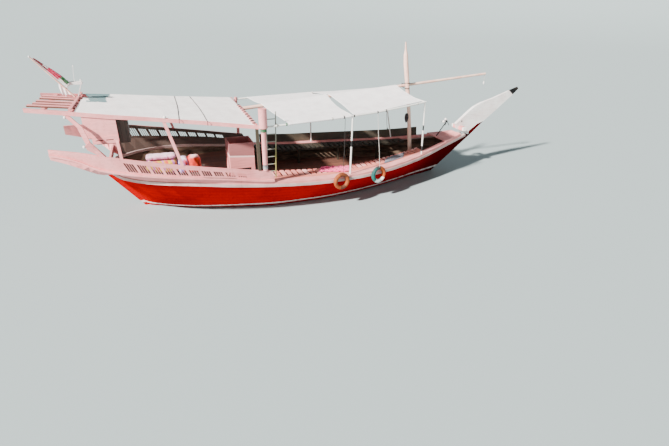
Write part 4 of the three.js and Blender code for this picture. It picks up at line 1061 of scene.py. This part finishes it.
awningGrid = awningPoints(120, 60)
awningSheet = thicken(surface("awningSheet", awningGrid, "awning", "canvas"), awning["thick"])
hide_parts("aft_awning")
awningEdge = np.concatenate([awningGrid[:-1, 0], awningGrid[-1, :-1], awningGrid[:0:-1, -1],
                             awningGrid[0, ::-1]])
awningHem = tube("awningHem", awningEdge, awning["hem"], "awning")
declareSheet(awningSheet, awningGrid)
for number, marks in enumerate(awning["ropes"]):
    shareLine = lineThrough([(x, v, 0) for x, v in marks], 60)
    x, v = shareLine[:, 0], shareLine[:, 1]
    half = roofHalf(x)
    y = v * (half + awning["ropeOut"])
    flatV = np.clip(y / (half - awning["inset"]), -1, 1)
    over = awningHeight(x, flatV) + awning["ropeRadius"] + awning["thick"] / 2
    width, high = awning["ropeEdge"]
    edge = roofTop(x) + high + awning["ropeRadius"]
    z = np.where(np.abs(y) > half - width, edge, over)
    top = np.stack([x, y, z], axis=1)
    down = [top[0] + (0, -out, low) for out, low in awning["ropeDown"]]
    farDown = [top[-1] + (0, out, low) for out, low in awning["ropeDown"]]
    line = lineThrough(np.concatenate([down[::-1], top[::3], farDown]), 160)
    rope = tube(f"awningRope{number}", line, awning["ropeRadius"], "darkRope", (1, 0, 0))
    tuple(line[0])
    lengthOf(line)
print("awning")


# Furled flag along the fore side of its staff

flagged = {
    "foot": (-7.14, 0.62, 3.69),
    "head": (-8.09, 0.62, 4.82),
    "shares": (0.18, 0.24, 0.34, 0.46, 0.60, 0.74, 0.86, 0.95),
    "width": (0.110, 0.172, 0.176, 0.160, 0.134, 0.100, 0.072, 0.040),
    "staffRadius": 0.023,
    "fall": (0.05, 0.37, 0.42, 3.70),  # share of the staff from and to, longest drop, lowest height
    "fallOff": (-0.012, 0.018, -0.026),  # from the staff's middle to the fall's upper edge
    "folds": 5,
}


def flagPoints(rows, columns):
    # a sheet gathered into long folds along the staff: at share s of the staff the cloth runs out and back
    # across the width there, on a wave whose height grows away from the staff
    s = np.linspace(flagged["shares"][0], flagged["shares"][-1], rows)[:, None]
    q = np.linspace(0, 1, columns)[None, :]
    foot, head = (np.array(flagged[k]) for k in ("foot", "head"))
    way = (head - foot) / np.linalg.norm(head - foot)
    out = np.array([way[2], 0, -way[0]])
    width = smooth(flagged["shares"], flagged["width"])(s)
    fold = 2 * np.pi * flagged["folds"] * q + 1.3 * np.sin(4.0 * s)
    away = flagged["staffRadius"] + 0.003 + width * (0.92 * q + 0.05 * q * np.sin(fold * 0.5 + 9 * s))
    wave = (0.004 + 0.030 * np.sqrt(width / 0.16)) * np.sin(fold) * (0.35 + 0.65 * q)
    aside = wave + 0.004 * np.sin(23 * s)
    base = foot + (head - foot) * s[..., None]
    return base + away[..., None] * out + aside[..., None] * np.array([0, 1, 0])


flagGrid = flagPoints(90, 110)
flagShares = np.stack(np.meshgrid(np.linspace(0, 1, 90), np.linspace(0, 1, 110), indexing="ij"), axis=-1)
flagCloth = thicken(surface("furledFlag", flagGrid, "flag", "flag_cloth", mapped=flagShares), 0.002)
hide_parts("flag")
declareSheet(flagCloth, flagGrid)


def flagFall(rows, columns):
    # the flag's white lower part: it hangs from the staff's lower side in folds, short at its ends
    low, high, drop, floor = flagged["fall"]
    s = np.linspace(low, high, rows)[:, None]
    q = np.linspace(0, 1, columns)[None, :]
    foot, head = (np.array(flagged[k]) for k in ("foot", "head"))
    base = foot + (head - foot) * s[..., None]
    share = (s - low) / (high - low)
    offX, offY, offZ = flagged["fallOff"]
    arch = np.sin(np.pi * np.clip(0.12 + 0.82 * share, 0, 1)) ** 0.5
    long = np.minimum(drop * arch, base[..., 2] + offZ - floor)
    fold = np.sin(2 * np.pi * 3 * share + 2 * q)
    x = base[..., 0] + offX - 0.02 * q * share
    y = base[..., 1] + offY + 0.015 * fold * (0.3 + 0.7 * q)
    z = base[..., 2] + offZ - q * np.maximum(long, 0.01)
    return np.stack([x, y, z], axis=2)


fallGrid = flagFall(80, 30)
fallCloth = thicken(surface("flagFall", fallGrid, "canvas", "flag_cloth"), 0.002)
declareSheet(fallCloth, fallGrid)
print("flag")


# Two piles of bedding on the locker

piles = {
    "voxel": 0.011,
    "pressure": 4.0,
    "frames": 20,
    "swellCap": 0.014,
    # columns: name, middle x, middle y, half long, half wide, low, high, finish, slot, turn in degrees
    "pads": (
        ("quiltLow", -4.885, -1.650, 0.462, 0.232, 1.604, 2.080, "yellowQuilt", "cushion_pink", 1.0),
        ("quiltTop", -4.885, -1.650, 0.455, 0.220, 2.090, 2.196, "pinkQuilt", "cushion_pink", -1.0),
        ("bundleAft", -4.267, -1.730, 0.142, 0.232, 1.604, 2.100, "lilacBundle", "cushion_orange", 0.0),
        ("bundleFore", -3.936, -1.730, 0.184, 0.232, 1.604, 2.120, "orangeBundle", "cushion_orange", 0.0),
    ),
    "replaced": {"quiltLow": "cushions_aft", "bundleAft": "cushions_fore"},
    "squareness": 0.42,
    "pull": 0.045,        # share by which the sides draw in between the corners
    "seams": ((), (-0.5, 0.0, 0.5), (), ()),  # sewn channels over the pad, as shares of its half length
    "flatFoot": 0.93,     # share of the half height at which the underside is cut flat
    "seamDepth": 0.014,
    "seamWidth": 0.022,
}


def padPoints(halfLong, halfWide, low, high, turn, seams):
    # a rounded box: each axis is a power of a cosine or sine, the sides draw in between the corners, the
    # underside is flat, and the top is drawn down along each sewn channel
    power = piles["squareness"]
    rise = np.linspace(-np.pi / 2, np.pi / 2, 46)[1:-1, None]
    about = np.linspace(0, 2 * np.pi, 96, endpoint=False)[None, :]

    def bent(value):
        return np.sign(value) * np.abs(value) ** power
    reach = bent(np.cos(rise)) * (1 - piles["pull"] * (0.5 + 0.5 * np.cos(4 * about)))
    x, y = halfLong * reach * bent(np.cos(about)), halfWide * reach * bent(np.sin(about))
    z = np.maximum(bent(np.sin(rise)) + 0 * x, -piles["flatFoot"])
    sag = sum(np.exp(-((x - b * halfLong) / piles["seamWidth"]) ** 2) for b in seams)
    shrink = 1 - piles["seamDepth"] * sag / halfWide
    y, z = y * shrink, np.where(z > 0, z * shrink, z)
    z = (low + high) / 2 + z * (high - low) / 2
    lift = low - z.min()
    c, s = math.cos(math.radians(turn)), math.sin(math.radians(turn))
    return np.stack([x * c - y * s, x * s + y * c, np.minimum(z + lift, high)], axis=2)


def puffUp(pad, floor):
    # blows the pad up a little with a cloth simulation, caps how far a point moves, and keeps its
    # foot level
    mesh = pad.data
    scene = bpy.context.scene
    with bpy.context.temp_override(active_object=pad, object=pad, selected_objects=[pad]):
        mesh.remesh_voxel_size = piles["voxel"]
        bpy.ops.object.voxel_remesh()
    start = np.empty(len(mesh.vertices) * 3)
    mesh.vertices.foreach_get("co", start)
    blown = pad.modifiers.new("blown", "CLOTH")
    blown.settings.use_pressure = True
    blown.settings.uniform_pressure_force = piles["pressure"]
    blown.settings.effector_weights.gravity = 0
    blown.settings.quality = 5
    for frame in range(1, piles["frames"] + 1):
        scene.frame_set(frame)
    puffed = pad.evaluated_get(bpy.context.evaluated_depsgraph_get()).to_mesh()
    end = np.empty(len(puffed.vertices) * 3)
    puffed.vertices.foreach_get("co", end)
    pad.evaluated_get(bpy.context.evaluated_depsgraph_get()).to_mesh_clear()
    pad.modifiers.remove(blown)
    scene.frame_set(1)
    start, end = start.reshape(-1, 3), end.reshape(-1, 3)
    move = end - start
    far = np.linalg.norm(move, axis=1, keepdims=True)
    move *= np.minimum(1.0, piles["swellCap"] / np.maximum(far, 1e-9))
    place = start + move
    place[:, 2] = np.maximum(place[:, 2], floor)
    mesh.vertices.foreach_set("co", place.ravel())
    mesh.polygons.foreach_set("use_smooth", np.ones(len(mesh.polygons), bool))
    mesh.update()
    finer = pad.modifiers.new("finer", "SUBSURF")
    finer.levels = finer.render_levels = 1


for row, seams in zip(piles["pads"], piles["seams"]):
    name, x, y, halfLong, halfWide, low, high, finish, slot, turn = row
    shell = padPoints(halfLong, halfWide, low, high, turn, seams) + np.array([x, y, 0])
    pad = surface(name, shell, finish, slot, around=True)
    puffUp(pad, low - 0.001)
    if name in piles["replaced"]:
        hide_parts(piles["replaced"][name])
print("bedding")


# Rug and mat laid over the starboard side deck

laid = {
    "deckX": (-1.6, 0.0, 1.0, 2.0, 3.0, 4.0, 4.8),
    "deckZ": (1.202, 1.087, 1.072, 1.072, 1.092, 1.142, 1.222),
    "lift": 0.012,
    "rug": ((0.15, -1.69), (0.46, -1.22), (1.42, -1.42), (1.16, -1.99)),
    "mat": ((2.72, -1.62), (3.17, -1.05), (4.00, -0.80), (3.72, -1.30)),
}


def laidGrid(points, rows, columns, waves):
    # a four-sided patch between its corners, on the deck's height with small folds over it
    p = np.array(points, float)
    u = np.linspace(0, 1, rows)[:, None, None]
    v = np.linspace(0, 1, columns)[None, :, None]
    at = p[0] * (1 - u) * (1 - v) + p[3] * u * (1 - v) + p[1] * (1 - u) * v + p[2] * u * v
    x, y = at[..., 0], at[..., 1]
    x = x + 0.02 * np.sin(6 * y)
    fold = np.maximum(ripples(x, y, waves), 0)
    z = np.interp(x, laid["deckX"], laid["deckZ"]) + laid["lift"] + fold
    return np.stack([x, y, z], axis=2)


rugGrid = laidGrid(laid["rug"], 90, 60,
                   ((0.022, 0.21, 0.4, 0.0), (0.014, 0.13, 1.2, 1.0), (0.010, 0.09, -0.6, 2.0)))
rug = thicken(surface("pinkRug", rugGrid, "pinkRug", "cushion_pink"), 0.006, 1.0)
declareSheet(rug, rugGrid)
matGrid = laidGrid(laid["mat"], 60, 50, ((0.010, 0.33, 0.9, 0.0), (0.006, 0.17, -0.4, 1.0)))
mat = thicken(surface("greyMat", matGrid, "greyMat", "canvas"), 0.008, 1.0)
declareSheet(mat, matGrid)
print("rug and mat")


# Lashings: rope wound round the rails, the roof's front beam, the thick post and the mast with its yard

lashed = {
    "rope": 0.0055,
    "roofRope": 0.012,
    "postRope": 0.0075,
    "mastRope": 0.008,
    "railTurns": (0.022, 4.25),   # half width along the rail, and turns
    "ringHalf": 0.072,
    "ringSkew": 0.045,
    "overCloth": 0.0425,
    "onPipe": 0.0362,
    # columns: side, x, over the cloth or on the bare pipe, finish
    "rails": (
        (-1, -1.12, False, "greenRope"), (-1, 0.415, True, "whiteRope"), (-1, 0.836, True, "darkRope"),
        (-1, 1.20, False, "darkRope"), (-1, 2.14, False, "darkRope"), (-1, 2.49, False, "darkRope"),
        (-1, 3.884, False, "whiteRope"), (1, 0.293, True, "whiteRope"), (1, 1.086, True, "whiteRope"),
        (1, 1.25, True, "whiteRope"), (1, 4.20, False, "darkRope"),
    ),
    # the strip on the awning's front edge, and the lashings round it and the beam
    "strip": {"x": -2.075, "wide": 0.11, "thick": 0.022, "from": 0.62, "to": -2.34},
    "marks": (0.50, 0.22, -0.08, -0.42, -0.70, -1.02, -1.30, -1.62, -1.90, -2.20),
    "beamLow": 2.932,
    "post": {"x": -1.862, "y": -2.42, "low": 2.835, "high": 2.925, "off": 0.086, "turns": 7},
    "mast": {"x": 4.375, "y": 0.0, "z": 3.571, "mast": 0.096, "yard": 0.135, "yardR": 0.068, "turns": 4},
}


def railKnot(number, side, x, overCloth, finish):
    # turns of rope round the rail, whose end hangs down
    y, z = railAt(x, side)
    off = lashed["overCloth"] if overCloth else lashed["onPipe"]
    half, turns = lashed["railTurns"]
    line = winding((x - half, y, z), (x + half, y, z), (0, off, 0), (0, 0, off), turns)
    tail = line[-1] + np.array([[0.004, side * 0.004, -0.02], [0.006, side * 0.006, -0.05]])
    lines = [line, lineThrough([line[-1], *tail], 8)]
    return ropes(f"railLashing{number}", lines, lashed["rope"], finish, (1, 0.02, 0.03))


for number, (side, x, overCloth, finish) in enumerate(lashed["rails"]):
    railKnot(number, side, x, overCloth, finish)

strip = lashed["strip"]


def stripLow(y):
    # rests on the awning's crown along the roof's front
    share = y / (roofHalf(awning["fore"]) - awning["inset"])
    return awningHeight(awning["fore"] + 0 * y, share) + 0.006


stripAt = np.linspace(strip["from"], strip["to"], 60)
bow = 0.005 * np.sin(4 * stripAt)
stripX = strip["x"] + bow
stripGrid = np.stack([np.stack([stripX + dx * strip["wide"] / 2, stripAt, stripLow(stripAt) + up], axis=1)
                      for dx, up in ((-1, 0), (1, 0), (1, strip["thick"]), (-1, strip["thick"]))], axis=1)
surface("roofStrip", stripGrid, "pinkPaint", "pink_paint", around=True, shade=False)
rings = []
for y in lashed["marks"]:
    top = stripLow(np.array(y)) + strip["thick"] + 0.008
    middle, up = (top + lashed["beamLow"]) / 2, (top - lashed["beamLow"]) / 2
    ends = [(strip["x"], y + skew, middle) for skew in (lashed["ringSkew"], -lashed["ringSkew"])]
    rings.append(winding(*ends, (lashed["ringHalf"], 0, 0), (0, 0, up + 0.006), 3.0, perTurn=24))
ropes("roofLashings", rings, lashed["roofRope"], "darkRope", (0, 1, 0.02))
post = lashed["post"]
postLine = winding((post["x"], post["y"], post["low"]), (post["x"], post["y"], post["high"]),
                   (post["off"], 0, 0), (0, post["off"], 0), post["turns"])
ropes("postLashing", [postLine], lashed["postRope"], "greenRope", (0.02, 0.03, 1))

tied = lashed["mast"]
sideways, back = tied["mast"] + 0.012, -(tied["mast"] + 0.004)
outward = tied["yard"] + tied["yardR"] + 0.006
over = tied["yardR"] + 0.016
loop = np.array([
    (-sideways, outward, -0.5 * over), (-sideways, outward, 0.5 * over), (-sideways, 0.02, over),
    (0, back, 1.1 * over), (sideways, 0.02, over), (sideways, outward, 0.5 * over),
    (sideways, outward, -0.5 * over), (sideways, 0.02, -over), (0, back, -1.1 * over),
    (-sideways, 0.02, -over),
])
growth = 1 + 0.035 * np.arange(tied["turns"])[:, None, None]
coils = (loop[None] * growth + np.array([tied["x"], tied["y"], tied["z"]])).reshape(-1, 3)
ropes("mastLashing", [lineThrough(coils, 260)], lashed["mastRope"], "darkRope", (0.3, 0.2, 1))
print("lashings")


# Lines that hang from the starboard rail, down to the tyres and one loose end

hung = {
    "radius": 0.008,
    # columns: points from the rail down, how the far end goes, finish
    "lines": (
        (((0.86, -2.308, 3.045), (0.84, -2.36, 2.4), (0.80, -2.43, 1.8), (0.76, -2.475, 1.235)),
         "object", "darkRope"),
        (((2.14, -2.097, 3.085), (2.16, -2.17, 2.4), (2.19, -2.25, 1.8), (2.21, -2.315, 1.235)),
         "object", "whiteRope"),
        (((2.49, -2.025, 3.10), (2.51, -2.03, 2.86), (2.53, -2.032, 2.66), (2.555, -2.033, 2.52)),
         "knot", "darkRope"),
    ),
    "knot": (0.022, 0.022, 0.03),
}


def ball(name, centre, half, finish="knobWhite", slot="white_paint"):
    # an ellipsoid by its half sizes
    rise = np.linspace(-np.pi / 2, np.pi / 2, 16)[1:-1, None]
    turn = np.linspace(0, 2 * np.pi, 22, endpoint=False)[None, :]
    points = np.stack([np.cos(rise) * np.cos(turn) * half[0], np.cos(rise) * np.sin(turn) * half[1],
                       np.sin(rise) * half[2] + 0 * turn], axis=2)
    return surface(name, points + np.asarray(centre), finish, slot, around=True)


for number, (points, end, finish) in enumerate(hung["lines"]):
    line = lineThrough(points, 120)
    rope = tube(f"hangingLine{number}", line, hung["radius"], finish, (0, 1, 0.1))
    parts = []
    if end == "knot":
        parts = [ball(f"lineKnot{number}", line[-1], hung["knot"], finish, "canvas")]
    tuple(line[0])
    lengthOf(line)
print("hanging lines")


# Small things on the roof, the mast, the stem head and the bow

small = {
    # columns: name, middle, half sizes
    "knobs": (
        ("knobStandAft", (-7.275, 0.78, 4.085), (0.030, 0.030, 0.034)),
        ("knobStandFore", (-6.905, 0.78, 4.095), (0.022, 0.022, 0.042)),
        ("knobStrut", (-4.61, -1.865, 3.345), (0.040, 0.040, 0.045)),
        ("knobStaff", (-8.098, 0.62, 4.832), (0.028, 0.028, 0.032)),
        ("knobBracket", (-6.815, -1.985, 2.69), (0.042, 0.040, 0.042)),
        ("knobSternStrut", (-7.20, -1.475, 3.425), (0.040, 0.036, 0.042)),
        ("floatAft", (6.40, 0.235, 1.985), (0.055, 0.050, 0.060)),
        ("floatFore", (6.52, 0.285, 2.060), (0.052, 0.048, 0.058)),
    ),
    "whipRadius": (0.007, 0.004),
    "whipTip": (0.014, 0.014, 0.034),
    "whip": ((-7.08, 0.78, 4.055), (-7.065, 0.78, 4.27), (-7.03, 0.775, 4.52)),
    "bag": {"x": 4.455, "y": 0.0, "low": 2.12, "high": 2.50, "half": (0.075, 0.095)},
    "block": {"top": (8.06, 0.135, 3.812), "middle": (8.065, 0.135, 3.70), "low": (8.075, 0.135, 3.56),
              "half": (0.034, 0.024, 0.066), "rope": 0.007},
    # columns: x, z, radius, and how far the bolt's face stands off the middle
    "bolts": ((7.22, 1.76, 0.034, 0.086), (7.08, 2.02, 0.030, 0.080)),
    "footPlate": {"x": -1.862, "y": -2.42, "off": 0.080, "low": 1.665, "high": 1.80},
}
for name, centre, half in small["knobs"]:
    ball(name, centre, half)
whip = lineThrough(small["whip"], 30)
tube("whip", whip, np.linspace(*small["whipRadius"], 30), "knobWhite", (0, 1, 0), "white_paint")
ball("whipTip", whip[-1], small["whipTip"])

bag = small["bag"]
down = np.linspace(0, 1, 40)[:, None]
around = np.linspace(0, 2 * np.pi, 48, endpoint=False)[None, :]
# the bag is narrow at its tied neck, widest two thirds of the way down, and creased under the neck
crease = 1 + 0.05 * np.sin(7 * around) * (1 - down)
fat = np.sin(np.pi * np.clip(0.06 + 0.94 * down ** 0.8, 0, 0.985)) ** 0.6 * crease
bagGrid = np.stack([bag["x"] + bag["half"][0] * fat * np.cos(around),
                    bag["y"] + bag["half"][1] * fat * np.sin(around),
                    bag["high"] - (bag["high"] - bag["low"]) * down + 0 * around], axis=2)
mastBag = surface("mastBag", bagGrid, "darkBag", "canvas", around=True)

block = small["block"]
fall = lineThrough([block["top"], block["middle"], block["low"]], 40)
fallRope = tube("blockLine", fall, block["rope"], "whiteRope", (0, 1, 0))
sheave = ball("tipBlock", np.array(block["low"]) - (0, 0, block["half"][2] * 0.85), block["half"])
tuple(fall[0])
lengthOf(fall)

for number, (x, z, radius, y) in enumerate(small["bolts"]):
    ring = np.linspace(0, 2 * np.pi, 20, endpoint=False)
    discX, discZ = x + radius * np.cos(ring), z + radius * np.sin(ring)
    disc = np.stack([np.stack([discX, np.full(20, -level), discZ], axis=1) for level in (y - 0.02, y)])
    surface(f"headBolt{number}", disc, "blackIron", "black_iron", around=True, shade=False)

plateAt = small["footPlate"]
ring = np.linspace(0, 2 * np.pi, 32, endpoint=False)
bandX = plateAt["x"] + plateAt["off"] * np.cos(ring)
bandY = plateAt["y"] + plateAt["off"] * np.sin(ring)
band = np.stack([np.stack([bandX, bandY, np.full(32, z)], axis=1)
                 for z in (plateAt["low"], plateAt["high"])])
surface("postFootPlate", band, "greyMetal", "steel", around=True)
print("small things")
